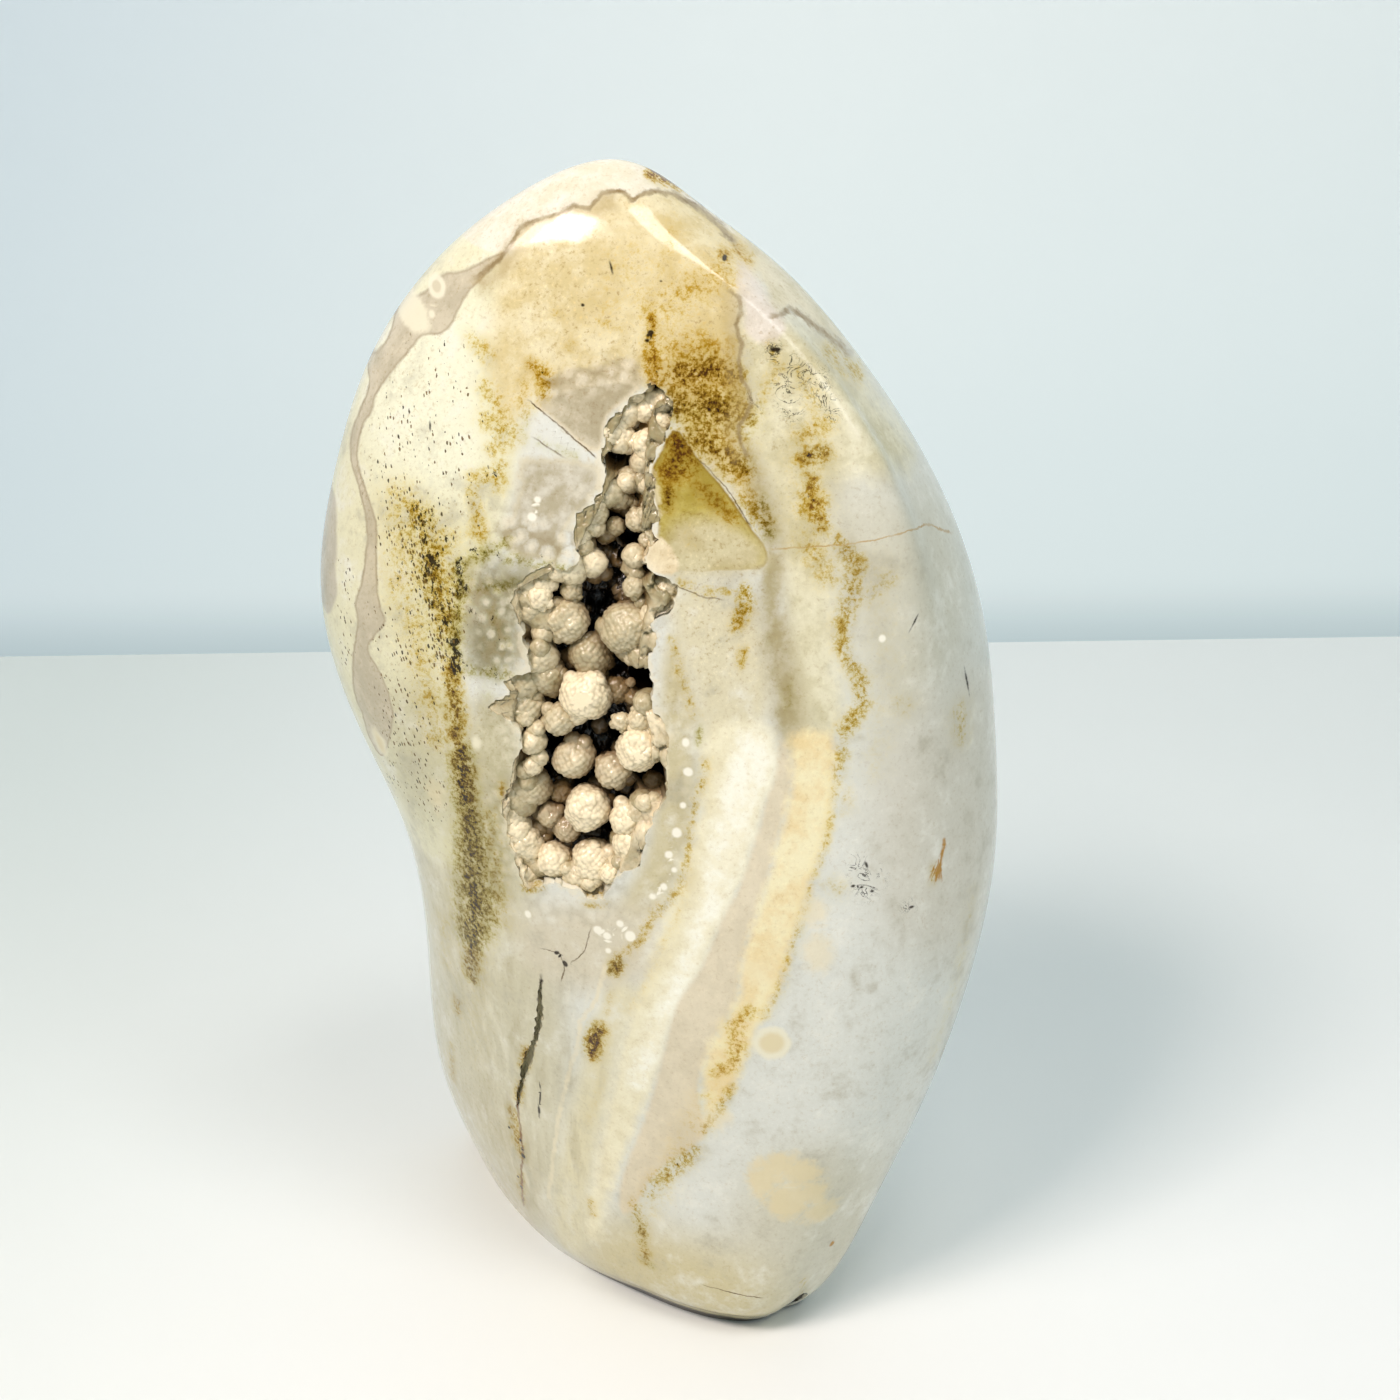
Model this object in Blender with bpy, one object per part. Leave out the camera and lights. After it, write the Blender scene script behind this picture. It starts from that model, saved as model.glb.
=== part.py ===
"""Flower agate freeform: a tall polished stone with a flat foot and a cave of crystals in its front.

Units are metres and +Z is up. The origin is on the table under the middle of the stone, and the face
with the cave looks towards -Y. Shapes are given in millimetres on a stone of the height below.
"""

import math
import random

import bmesh
import bpy
import numpy as np
from mathutils import Matrix, Vector
from mathutils.bvhtree import BVHTree

HEIGHT = 0.140
MM = HEIGHT / 140.0

GAP = 0.45
AROUND = 52
UPWARDS = 38

# One level section of the stone a row: its height, then x and y of its leftmost, front, rightmost
# and back points, then how full the corner is between each two of them, in the same order.
SECTIONS = (
    (0.0, -27.2, 14.8, 7.0, -23.4, 18.3, -14.7, -3.2, 23.0, 0.62, 0.70, 0.72, 0.74),
    (3.0, -28.1, 14.2, 8.2, -25.4, 20.5, -15.2, -2.8, 24.6, 0.62, 0.71, 0.72, 0.74),
    (15.0, -30.6, 10.8, 10.8, -27.2, 27.0, -13.2, -1.2, 25.8, 0.64, 0.72, 0.72, 0.74),
    (30.0, -31.2, 7.8, 13.8, -27.7, 33.4, -10.2, 0.8, 26.8, 0.66, 0.73, 0.72, 0.73),
    (45.0, -30.9, 4.8, 14.8, -27.7, 37.9, -8.2, 2.8, 27.8, 0.69, 0.74, 0.72, 0.72),
    (60.0, -32.9, 3.8, 14.8, -26.7, 40.4, -6.2, 4.8, 27.8, 0.70, 0.74, 0.72, 0.72),
    (75.0, -38.2, 3.8, 15.8, -24.7, 39.9, -4.2, 2.8, 26.8, 0.71, 0.74, 0.72, 0.72),
    (90.0, -40.5, 2.8, 17.8, -21.7, 37.7, -2.2, 0.8, 25.3, 0.71, 0.74, 0.72, 0.72),
    (105.0, -37.7, 2.8, 18.8, -17.7, 31.8, -0.2, -1.2, 22.3, 0.71, 0.74, 0.72, 0.72),
    (118.0, -32.8, 3.8, 13.8, -12.7, 23.1, 1.8, -4.2, 18.3, 0.71, 0.74, 0.72, 0.72),
    (128.0, -25.6, 3.8, 5.0, -8.0, 13.8, 3.8, -5.2, 13.8, 0.71, 0.73, 0.72, 0.72),
    (135.0, -17.2, 3.8, -3.0, -3.6, 4.8, 3.8, -6.2, 9.8, 0.71, 0.72, 0.72, 0.72),
)
TOP = (-5.0, 3.3, 140.0)

# The mouth of the cave on the polished face, as x and height, clockwise from its top.
MOUTH = (
    (-0.5, 119.0), (1.5, 117.5), (1.5, 114.5), (0.0, 111.5), (-1.0, 110.0), (0.0, 107.5),
    (0.5, 105.0), (-0.5, 103.5), (-1.5, 100.5), (-0.5, 99.5), (2.0, 98.5), (2.5, 97.0),
    (1.0, 95.0), (-0.5, 91.5), (-1.0, 89.5), (-0.5, 87.0), (-0.5, 85.0), (1.0, 82.5),
    (1.5, 80.0), (1.0, 77.5), (1.0, 75.0), (-1.0, 71.0), (-2.0, 67.0), (-4.0, 64.5),
    (-6.5, 61.5), (-9.0, 61.5), (-12.0, 62.5), (-15.5, 60.5), (-16.5, 64.0), (-17.5, 69.0),
    (-17.5, 72.5), (-16.0, 76.0), (-15.5, 80.5), (-18.5, 83.0), (-16.5, 85.5), (-14.5, 88.5),
    (-15.5, 93.0), (-16.0, 96.5), (-12.5, 99.5), (-9.0, 99.5), (-8.5, 104.5), (-6.0, 107.5),
    (-6.0, 112.5), (-4.5, 115.5), (-3.0, 117.5),
)
CAVE_MIDDLE = 86.0
# The cave from its mouth inwards: depth below the polished face, width and height against the mouth.
CAVE_LEVELS = ((1.5, 1.0, 1.0), (4.0, 1.10, 1.03), (8.0, 1.05, 0.98), (11.0, 0.85, 0.86), (13.0, 0.5, 0.6))

# The hollow left in the crust: height, left and right edges, and depth below the polished face.
HOLLOW = (
    (60.5, -12.5, -7.0, 3.0), (64.5, -15.0, -4.5, 5.0), (70.0, -16.0, -2.5, 6.5), (76.0, -14.8, -0.6, 7.0),
    (82.0, -15.0, -0.6, 7.0), (87.0, -13.5, -2.0, 6.5), (92.0, -14.0, -1.8, 6.5), (96.5, -14.0, -0.5, 6.0),
    (100.0, -8.5, -2.5, 5.0), (104.5, -7.0, -1.5, 4.5), (109.0, -4.8, -1.2, 4.0), (113.0, -5.0, -1.0, 4.0),
    (117.5, -2.7, 0.5, 3.0),
)

# Crystal balls: x, height, diameter, and how far the near side lies below the polished face.
BALLS = (
    (-4.0, 112.5, 3.3, 1.5), (-1.0, 112.0, 3.3, 1.0), (-0.5, 116.0, 2.6, 2.0), (-3.0, 108.0, 2.9, 2.2),
    (-4.0, 106.0, 2.4, 2.6), (-2.0, 104.0, 2.4, 1.8), (-7.5, 103.5, 2.6, 0.8), (-4.5, 103.0, 2.0, 3.0),
    (-13.0, 95.5, 2.8, 0.8), (-10.0, 92.5, 4.3, 1.6), (-9.5, 96.0, 2.2, 2.5), (-2.5, 97.0, 2.3, 1.6),
    (1.0, 97.0, 2.4, 0.8), (-3.5, 92.0, 5.6, 0.8), (-7.5, 89.0, 4.5, 2.6), (-12.5, 86.0, 4.3, 1.8),
    (-8.0, 84.5, 5.6, 0.8), (-15.0, 82.5, 3.9, 1.2), (-11.0, 81.5, 3.4, 1.2), (-4.5, 84.5, 3.2, 3.8),
    (-2.0, 82.5, 2.5, 1.0), (-4.0, 82.0, 2.0, 1.6), (-2.0, 79.0, 4.7, 0.6), (-9.5, 76.5, 4.6, 2.0),
    (-5.0, 75.5, 3.9, 2.4), (-14.5, 72.5, 4.1, 1.8), (-11.0, 71.5, 3.2, 4.5), (-8.0, 71.0, 5.0, 0.8),
    (-3.5, 70.5, 3.6, 0.8), (-3.0, 67.5, 3.9, 0.8), (-7.5, 64.5, 4.8, 0.8), (-12.5, 69.0, 2.9, 3.0),
    (-10.5, 67.5, 2.9, 3.0), (-15.5, 65.5, 4.2, 0.8), (-12.0, 64.0, 3.7, 0.8), (-0.5, 74.0, 2.7, 4.0),
)

# The open crack low on the front, as x and height down its length, and its width and depth.
CRACK = ((-13.0, 50.0), (-14.0, 46.0), (-14.8, 42.0), (-16.0, 36.0), (-16.3, 30.0), (-16.6, 24.0))
CRACK_WIDTH = 0.7
CRACK_DEPTH = 1.6

# A chip knocked off the foot's rim at the front right.
CHIP_PLACE = (14.6, -21.3, 0.6)
CHIP_SIZE = 1.5


def clear_scene():
    for old in list(bpy.data.objects):
        bpy.data.objects.remove(old, do_unlink=True)


def new_collection(name):
    collection = bpy.data.collections.new(name)
    bpy.context.scene.collection.children.link(collection)
    return collection


def stone_material(name, colour, roughness):
    material = bpy.data.materials.new(name)
    material.use_nodes = True
    shader = material.node_tree.nodes["Principled BSDF"]
    shader.inputs["Base Color"].default_value = (*colour, 1.0)
    shader.inputs["Roughness"].default_value = roughness
    shader.inputs["Metallic"].default_value = 0.0
    return material


def natural_spline(knots, values, at):
    """Values of the natural cubic spline through (knots, values) at the places in `at`."""
    knots = np.asarray(knots, float)
    values = np.asarray(values, float)
    count = len(knots)
    step = np.diff(knots)
    across = (-1,) + (1,) * (values.ndim - 1)
    system = np.zeros((count, count))
    system[0, 0] = system[-1, -1] = 1.0
    inner = np.arange(1, count - 1)
    system[inner, inner - 1] = step[:-1]
    system[inner, inner] = 2 * (step[:-1] + step[1:])
    system[inner, inner + 1] = step[1:]
    slope = np.diff(values, axis=0) / step.reshape(across)
    right_side = np.zeros_like(values)
    right_side[1:-1] = 6 * (slope[1:] - slope[:-1])
    bend = np.linalg.solve(system, right_side.reshape(count, -1)).reshape(values.shape)
    left = np.clip(np.searchsorted(knots, at) - 1, 0, count - 2)
    before = (at - knots[left]).reshape(across)
    after = (knots[left + 1] - at).reshape(across)
    width = step[left].reshape(across)
    curved = (bend[left] * after**3 + bend[left + 1] * before**3) / (6 * width)
    start = (values[left] / width - bend[left] * width / 6) * after
    end = (values[left + 1] / width - bend[left + 1] * width / 6) * before
    return curved + start + end


def section_points(section):
    """Eight points round a level section: its four outermost ones with a corner between each two."""
    height = section[0]
    sides = [np.array(section[i : i + 2]) for i in (1, 3, 5, 7)]
    points = []
    for quarter, fullness in enumerate(section[9:]):
        here, following = sides[quarter], sides[(quarter + 1) % 4]
        if quarter % 2 == 0:
            hub = np.array((following[0], here[1]))
        else:
            hub = np.array((here[0], following[1]))
        points.append((*here, height))
        points.append((*(hub + fullness * (here + following - 2 * hub)), height))
    return np.array(points)


def stone_surface(around, upwards):
    """The stone's skin as rows of points in millimetres, from the foot up to the top point.

    A closed spline rounds off each section, and a second one runs up each column, over the top and
    a little down the far side, so that the top is smooth.
    """
    knots = np.arange(-8, 17)
    turns = np.arange(around) * 8 / around
    rounded = []
    for section in SECTIONS:
        points = section_points(section)
        rounded.append(natural_spline(knots, np.concatenate([points] * 3 + [points[:1]]), turns))
    rounded = np.array(rounded)
    top = np.tile(np.array(TOP), (1, around, 1))
    far_side = np.roll(rounded[::-1][:3], around // 2, axis=1)
    columns = np.concatenate([rounded, top, far_side])
    lengths = np.linalg.norm(np.diff(columns, axis=0), axis=2).mean(axis=1)
    along = np.concatenate([[0.0], np.cumsum(lengths)])
    return natural_spline(along, columns, np.linspace(0.0, along[len(rounded)], upwards))


def closed_object(name, collection, rings, pole=None):
    """A closed solid lofted through rings of as many points each, in millimetres.

    Its first ring is filled flat. The last one is filled too, or runs to a point where a pole is given.
    """
    count = len(rings[0])
    points = [tuple(p) for ring in rings for p in ring]
    faces = [tuple(reversed(range(count)))]
    for level in range(len(rings) - 1):
        for i in range(count):
            following = (i + 1) % count
            low, high = level * count, (level + 1) * count
            faces.append((low + i, low + following, high + following, high + i))
    last = (len(rings) - 1) * count
    if pole is None:
        faces.append(tuple(range(last, last + count)))
    else:
        points.append(tuple(pole))
        faces += [(last + i, last + (i + 1) % count, len(points) - 1) for i in range(count)]
    mesh = bpy.data.meshes.new(name)
    mesh.from_pydata([Vector(p) * MM for p in points], [], faces)
    shape = bmesh.new()
    shape.from_mesh(mesh)
    bmesh.ops.triangulate(shape, faces=[f for f in shape.faces if len(f.verts) > 4])
    bmesh.ops.recalc_face_normals(shape, faces=shape.faces)
    shape.to_mesh(mesh)
    shape.free()
    obj = bpy.data.objects.new(name, mesh)
    collection.objects.link(obj)
    return obj


def hide_cutter(obj):
    obj.hide_render = True
    obj.display_type = "WIRE"
    return obj


def boolean(obj, name, operation, other):
    modifier = obj.modifiers.new(name, "BOOLEAN")
    modifier.operation = operation
    modifier.solver = "EXACT"
    if isinstance(other, bpy.types.Collection):
        modifier.operand_type = "COLLECTION"
        modifier.collection = other
    else:
        modifier.object = other


def make_stone(parts):
    rows = stone_surface(AROUND, UPWARDS)
    return closed_object("stone", parts, rows[:-1], pole=rows[-1, 0])


def face_finder(stone):
    """A function that gives y of the stone's polished front at an x and a height, in millimetres."""
    skin = bmesh.new()
    skin.from_mesh(stone.data)
    tree = BVHTree.FromBMesh(skin)
    skin.free()

    def front(x, height):
        hit = tree.ray_cast(Vector((x, -60.0, height)) * MM, Vector((0.0, 1.0, 0.0)))[0]
        return hit.y / MM

    return front


def inset_outline(outline, inset):
    """The outline moved inwards by `inset` along the line that halves each corner."""
    points = np.array(outline)
    before = points - np.roll(points, 1, axis=0)
    after = np.roll(points, -1, axis=0) - points
    before /= np.linalg.norm(before, axis=1, keepdims=True)
    after /= np.linalg.norm(after, axis=1, keepdims=True)
    middle = before + after
    middle /= np.linalg.norm(middle, axis=1, keepdims=True)
    inwards = np.stack([middle[:, 1], -middle[:, 0]], axis=1)
    stretch = 1 / np.maximum(0.6, np.abs(before[:, 0] * middle[:, 0] + before[:, 1] * middle[:, 1]))
    return points + inwards * inset * stretch[:, None]


def cave_middle(height):
    """x of the cave's middle line, which leans to the right as it rises."""
    return -8.5 + (height - 61.0) * 6.5 / 58.0


def cave_rings(front, inset, first_depth):
    """Rings of the cave from `first_depth` inwards, each as deep below the face as its level says."""
    outline = inset_outline(MOUTH, inset)
    levels = [(first_depth, 1.0, 1.0)] + [(depth - inset, wide, high) for depth, wide, high in CAVE_LEVELS]
    rings = []
    for depth, wide, high in levels:
        ring = []
        for x, height in outline:
            level_height = CAVE_MIDDLE + (height - CAVE_MIDDLE) * high
            level_x = cave_middle(level_height) + (x - cave_middle(height)) * wide
            ring.append((level_x, front(level_x, level_height) + depth, level_height))
        rings.append(ring)
    return rings


def hollow_depth(x, height):
    """How far the crust's surface lies below the polished face, 0 outside the hollow."""
    heights, lefts, rights, depths = np.array(HOLLOW).T
    left, right = np.interp(height, heights, lefts), np.interp(height, heights, rights)
    across = (2 * x - left - right) / (right - left)
    return np.interp(height, heights, depths) * math.sqrt(max(0.1, 1 - across**2))


def make_hollow(front, cutters):
    """The trough cut from the crust, with half an ellipse for its section at each height."""
    outside = -4.0
    arc = np.linspace(0.0, math.pi, 12)
    rings = []
    for height, left, right, depth in HOLLOW:
        middle, half = (left + right) / 2, (right - left) / 2
        ring = [(middle - half * math.cos(a), depth * math.sin(a)) for a in arc]
        ring = [(left, outside)] + ring + [(right, outside)]
        rings.append([(x, front(x, height) + y, height) for x, y in ring])
    return hide_cutter(closed_object("crust_hollow", cutters, rings))


def make_balls(front, cutters):
    """Each ball is a lumpy sphere of flat faces, with a stem back to the crust where it needs one."""
    balls = bpy.data.collections.new("crystal balls")
    cutters.children.link(balls)
    dice = random.Random(7)
    for number, (x, height, diameter, near_depth) in enumerate(BALLS, 1):
        radius = diameter / 2
        depth = near_depth + radius
        centre = Vector((x, front(x, height) + depth, height)) * MM
        shape = bmesh.new()
        bmesh.ops.create_icosphere(shape, subdivisions=2, radius=radius * MM)
        spin = Matrix.Rotation(dice.uniform(0.0, math.tau), 4, (dice.random(), dice.random(), 1.0))
        bmesh.ops.rotate(shape, verts=shape.verts, cent=(0.0, 0.0, 0.0), matrix=spin)
        for vert in shape.verts:
            vert.co *= dice.uniform(0.93, 1.06)
        bmesh.ops.translate(shape, verts=shape.verts, vec=centre)
        add_ball(balls, f"ball_{number:02d}", shape)
        reach = hollow_depth(x, height) + 1.0 - depth
        if reach > 0.6 * radius:
            stem = bmesh.new()
            bmesh.ops.create_cone(
                stem, cap_ends=True, segments=7, radius1=0.75 * radius * MM, radius2=0.9 * radius * MM, depth=reach * MM
            )
            bmesh.ops.rotate(stem, verts=stem.verts, matrix=Matrix.Rotation(-math.pi / 2, 3, "X"))
            bmesh.ops.translate(stem, verts=stem.verts, vec=centre + Vector((0.0, reach / 2, 0.0)) * MM)
            add_ball(balls, f"stem_{number:02d}", stem)
    return balls


def add_ball(balls, name, shape):
    mesh = bpy.data.meshes.new(name)
    bmesh.ops.recalc_face_normals(shape, faces=shape.faces)
    shape.to_mesh(mesh)
    shape.free()
    obj = bpy.data.objects.new(name, mesh)
    balls.objects.link(obj)
    hide_cutter(obj)


def make_crack(front, cutters):
    """A wedge along the crack, wide at the face and sharp inside, and narrow at both ends."""
    rings = []
    for i, (x, height) in enumerate(CRACK):
        ends = i in (0, len(CRACK) - 1)
        half = CRACK_WIDTH / 2 * (0.3 if ends else 1.0)
        depth = CRACK_DEPTH * (0.4 if ends else 1.0)
        y = front(x, height)
        rings.append([(x - half, y - 0.6, height), (x + half, y - 0.6, height), (x, y + depth, height)])
    return hide_cutter(closed_object("crack_cutter", cutters, rings))


def make_chip(cutters):
    shape = bmesh.new()
    bmesh.ops.create_icosphere(shape, subdivisions=1, radius=CHIP_SIZE * MM)
    bmesh.ops.translate(shape, verts=shape.verts, vec=Vector(CHIP_PLACE) * MM)
    mesh = bpy.data.meshes.new("chip_cutter")
    shape.to_mesh(mesh)
    shape.free()
    obj = bpy.data.objects.new("chip_cutter", mesh)
    cutters.objects.link(obj)
    return hide_cutter(obj)


def smooth(obj, angle):
    obj.data.shade_smooth()
    obj.data.set_sharp_from_angle(angle=math.radians(angle))


clear_scene()
agate = new_collection("flower agate freeform")
cutting_shapes = new_collection("cutting shapes")
cutting_shapes.hide_render = True

stone = make_stone(agate)
front_y = face_finder(stone)
cave = hide_cutter(closed_object("cave_cutter", cutting_shapes, cave_rings(front_y, 0.0, -12.0)))
boolean(stone, "cave", "DIFFERENCE", cave)
boolean(stone, "crack", "DIFFERENCE", make_crack(front_y, cutting_shapes))
boolean(stone, "chip", "DIFFERENCE", make_chip(cutting_shapes))
stone.data.materials.append(stone_material("polished agate", (0.66, 0.62, 0.54), 0.12))
smooth(stone, 40)

crust_room = hide_cutter(closed_object("crust_room", cutting_shapes, cave_rings(front_y, GAP, 0.8)))
crust = closed_object("crystal_crust", agate, cave_rings(front_y, 0.0, -2.0))
boolean(crust, "hollow", "DIFFERENCE", make_hollow(front_y, cutting_shapes))
boolean(crust, "balls", "UNION", make_balls(front_y, cutting_shapes))
boolean(crust, "room", "INTERSECT", crust_room)
crust.data.materials.append(stone_material("crystal crust", (0.72, 0.62, 0.53), 0.3))
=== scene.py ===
"""The looks of a flower agate freeform: a polished stone with a cave of crystal balls in its front.

Points are worked out in millimetres, with +Z up and the face with the cave towards -Y, and the
meshes are made from them in metres.
"""

import math

import bmesh
import bpy
import numpy as np
from mathutils import Euler, Matrix


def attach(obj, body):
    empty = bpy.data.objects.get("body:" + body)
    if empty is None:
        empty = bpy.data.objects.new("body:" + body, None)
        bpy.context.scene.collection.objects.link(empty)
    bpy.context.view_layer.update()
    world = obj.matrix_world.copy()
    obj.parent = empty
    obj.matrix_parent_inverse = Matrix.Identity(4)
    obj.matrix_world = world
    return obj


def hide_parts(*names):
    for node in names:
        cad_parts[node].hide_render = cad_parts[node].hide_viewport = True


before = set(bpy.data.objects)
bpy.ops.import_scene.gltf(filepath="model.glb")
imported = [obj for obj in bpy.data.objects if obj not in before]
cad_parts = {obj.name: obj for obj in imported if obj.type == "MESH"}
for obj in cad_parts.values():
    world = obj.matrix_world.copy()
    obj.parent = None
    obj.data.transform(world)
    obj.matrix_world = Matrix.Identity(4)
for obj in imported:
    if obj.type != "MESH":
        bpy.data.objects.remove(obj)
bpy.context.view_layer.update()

# Camera. It stands about 24 cm in front of the stone and looks down on it by 25 degrees, so that the
# tall body narrows towards its foot.
CAMERA_PLACE = (0.0048, -0.2367, 0.1863)
CAMERA_TILT = 65.0
CAMERA_VIEW = 36.0

camera_data = bpy.data.cameras.new("camera")
camera_data.angle = math.radians(CAMERA_VIEW)
camera_data.clip_start = 0.01
camera = bpy.data.objects.new("camera", camera_data)
camera.location = CAMERA_PLACE
camera.rotation_euler = (math.radians(CAMERA_TILT), 0.0, 0.0)
bpy.context.scene.collection.objects.link(camera)
bpy.context.scene.camera = camera
bpy.context.scene.view_settings.view_transform = "Standard"


# Light. Soft panels stand for the windows of a bright room: two panes of one at the front left, a
# small one high at the right, one at the right that draws the long glint down that ridge, and two
# large dim ones, at the right and in front, that lift those sides.
# Each row is a name, degrees round from the front (minus is left), degrees up, distance, width and
# height in metres, roll in degrees, power in watts and colour.
PANELS = (
    ("front pane", -41.0, 54.0, 0.62, 0.17, 0.15, 0.0, 2.35, (1.0, 0.87, 0.81)),
    ("left pane", -58.0, 50.0, 0.66, 0.15, 0.12, 0.0, 0.8, (1.0, 0.87, 0.81)),
    ("overhead", 36.0, 71.0, 0.72, 0.26, 0.12, 0.0, 1.05, (1.0, 0.94, 0.92)),
    ("right window", 51.0, 50.0, 0.80, 0.19, 0.34, -15.0, 0.7, (0.95, 0.97, 1.0)),
    ("right side", 84.0, 36.0, 1.10, 0.80, 0.60, 0.0, 0.6, (1.0, 0.97, 0.95)),
    ("front fill", 22.0, 14.0, 1.20, 0.90, 0.70, 0.0, 1.2, (0.9, 0.97, 1.0)),
)
ROOM_COLOUR = (0.72, 0.94, 0.98)
ROOM_LIGHT = 0.25
AIM = (0.0, 0.0, 0.07)


def panel_light(name, around, up, distance, width, height, roll, power, colour):
    """A flat lamp on a sphere round the stone, turned to face it."""
    lamp = bpy.data.lights.new(name, "AREA")
    lamp.shape = "RECTANGLE"
    lamp.size = width
    lamp.size_y = height
    lamp.energy = power
    lamp.color = colour
    lamp_object = bpy.data.objects.new(name, lamp)
    turn, rise = math.radians(around), math.radians(up)
    lamp_object.location = (
        AIM[0] + distance * math.sin(turn) * math.cos(rise),
        AIM[1] - distance * math.cos(turn) * math.cos(rise),
        AIM[2] + distance * math.sin(rise),
    )
    rolled = Matrix.Rotation(math.radians(roll), 3, "Z")
    facing = Euler((math.pi / 2 - rise, 0.0, turn)).to_matrix() @ rolled
    lamp_object.rotation_euler = facing.to_euler()
    bpy.context.scene.collection.objects.link(lamp_object)


for panel in PANELS:
    panel_light(*panel)

room = bpy.data.worlds.new("room light")
room.use_nodes = True
background = room.node_tree.nodes["Background"]
background.inputs["Color"].default_value = (*ROOM_COLOUR, 1.0)
background.inputs["Strength"].default_value = ROOM_LIGHT
bpy.context.scene.world = room


# Table and wall. A white-painted table with faint brush lines along it, and a pale blue wall past its far
# edge, both a little out of square with the view. Neither is part of the stone. Both have painted shade,
# and the wall painted light too, standing in for the room's uneven light.
TABLE_HALF = 1.2
TABLE_EDGE_LEFT = (-1.2, 0.147)
TABLE_EDGE_RIGHT = (1.2, 0.233)
WALL_LEFT = (-1.2, 0.273)
WALL_RIGHT = (1.2, 0.359)
WALL_FOOT = -0.3
WALL_HEIGHT = 1.2
TABLE_COLOUR = (239, 240, 238)
BRUSHED_COLOUR = (238, 240, 238)
BRUSH_STRETCH = (0.06, 1.0, 1.0)
# Painted shade on the table: darker to the left and towards the wall.
TABLE_LEFT_PAINTED_SHADE = (0.86, 0.89, 0.87, 1.0)
TABLE_FAR_PAINTED_SHADE = (0.84, 0.88, 0.89, 1.0)
WALL_COLOUR = (224, 235, 239)
# Painted shade and light on the wall: darker to the left and higher up, lighter to the right.
WALL_LEFT_PAINTED_SHADE = (0.77, 0.81, 0.86, 1.0)
WALL_RIGHT_PAINTED_LIGHT = (1.1, 1.06, 1.03, 1.0)
# Painted shade low on the wall, below the table's edge, where the table shades it.
LOW_WALL_SHADE_COLOUR = (172, 192, 200)
LOW_WALL_SHADE_FROM = -0.059
LOW_WALL_SHADE_TO = -0.034
# The far wall stands below the lamps' reach, so it gets painted light: a faint glow in its surface,
# stronger low down.
PAINTED_GLOW_COLOUR = (0.88, 1.0, 1.0, 1.0)
PAINTED_GLOW_HIGH = 0.1
PAINTED_GLOW_MORE_LOW = 0.19


def paint(red, green, blue):
    """A colour of 0 to 255 steps as the linear colour that a shader takes."""
    steps = np.array((red, green, blue)) / 255.0
    linear = np.where(steps <= 0.04045, steps / 12.92, ((steps + 0.055) / 1.055) ** 2.4)
    return (*[float(part) for part in linear], 1.0)


def add(tree, kind, inputs=None, **settings):
    """Adds a node. An input given as a socket is linked, and any other one is set."""
    made = tree.nodes.new(kind)
    for name, value in settings.items():
        setattr(made, name, value)
    for key, value in (inputs or {}).items():
        if isinstance(value, bpy.types.NodeSocket):
            tree.links.new(value, made.inputs[key])
        else:
            made.inputs[key].default_value = value
    return made


def maths(tree, operation, *values):
    """The output of a Math node on up to three values."""
    return add(tree, "ShaderNodeMath", dict(enumerate(values)), operation=operation).outputs[0]


def smooth_step(tree, value, low, high):
    """0 up to `low` and 1 from `high`, with a soft rise between them."""
    inputs = {"Value": value, "From Min": low, "From Max": high}
    return add(tree, "ShaderNodeMapRange", inputs, interpolation_type="SMOOTHSTEP").outputs[0]


def noise(tree, place, size, detail=4.0, roughness=0.55, twist=0.0):
    """Cloudy noise around 0, between about -0.5 and 0.5, with blobs of about `size` millimetres."""
    inputs = {"Vector": place, "Scale": 1000.0 / size, "Detail": detail, "Roughness": roughness}
    inputs["Distortion"] = twist
    return maths(tree, "SUBTRACT", add(tree, "ShaderNodeTexNoise", inputs).outputs[0], 0.5)


def mixed(tree, factor, below, above, blend="MIX"):
    """The colour `above` laid over `below` by the factor."""
    inputs = {0: factor, 6: below, 7: above}
    return add(tree, "ShaderNodeMix", inputs, data_type="RGBA", blend_type=blend).outputs[2]


def new_material(name):
    """A material, its node tree, its shader, and the place on the object that its patterns read."""
    material = bpy.data.materials.new(name)
    material.use_nodes = True
    tree = material.node_tree
    place = add(tree, "ShaderNodeTexCoord").outputs["Object"]
    return material, tree, tree.nodes["Principled BSDF"], place


def link_object(name, mesh, material):
    """The mesh as an object of the scene, in that material."""
    piece = bpy.data.objects.new(name, mesh)
    piece.data.materials.append(material)
    bpy.context.scene.collection.objects.link(piece)
    return piece


table_finish, tree, shader, place = new_material("table paint and painted shade")
stretched = add(tree, "ShaderNodeMapping", {"Vector": place, "Scale": BRUSH_STRETCH}).outputs[0]
brush_lines = noise(tree, stretched, 2.5, 6.0)
brushed = maths(tree, "MULTIPLY_ADD", brush_lines, 0.5, 0.5)
shade = mixed(tree, brushed, paint(*BRUSHED_COLOUR), paint(*TABLE_COLOUR))
across, away, _ = add(tree, "ShaderNodeSeparateXYZ", {0: place}).outputs
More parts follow.
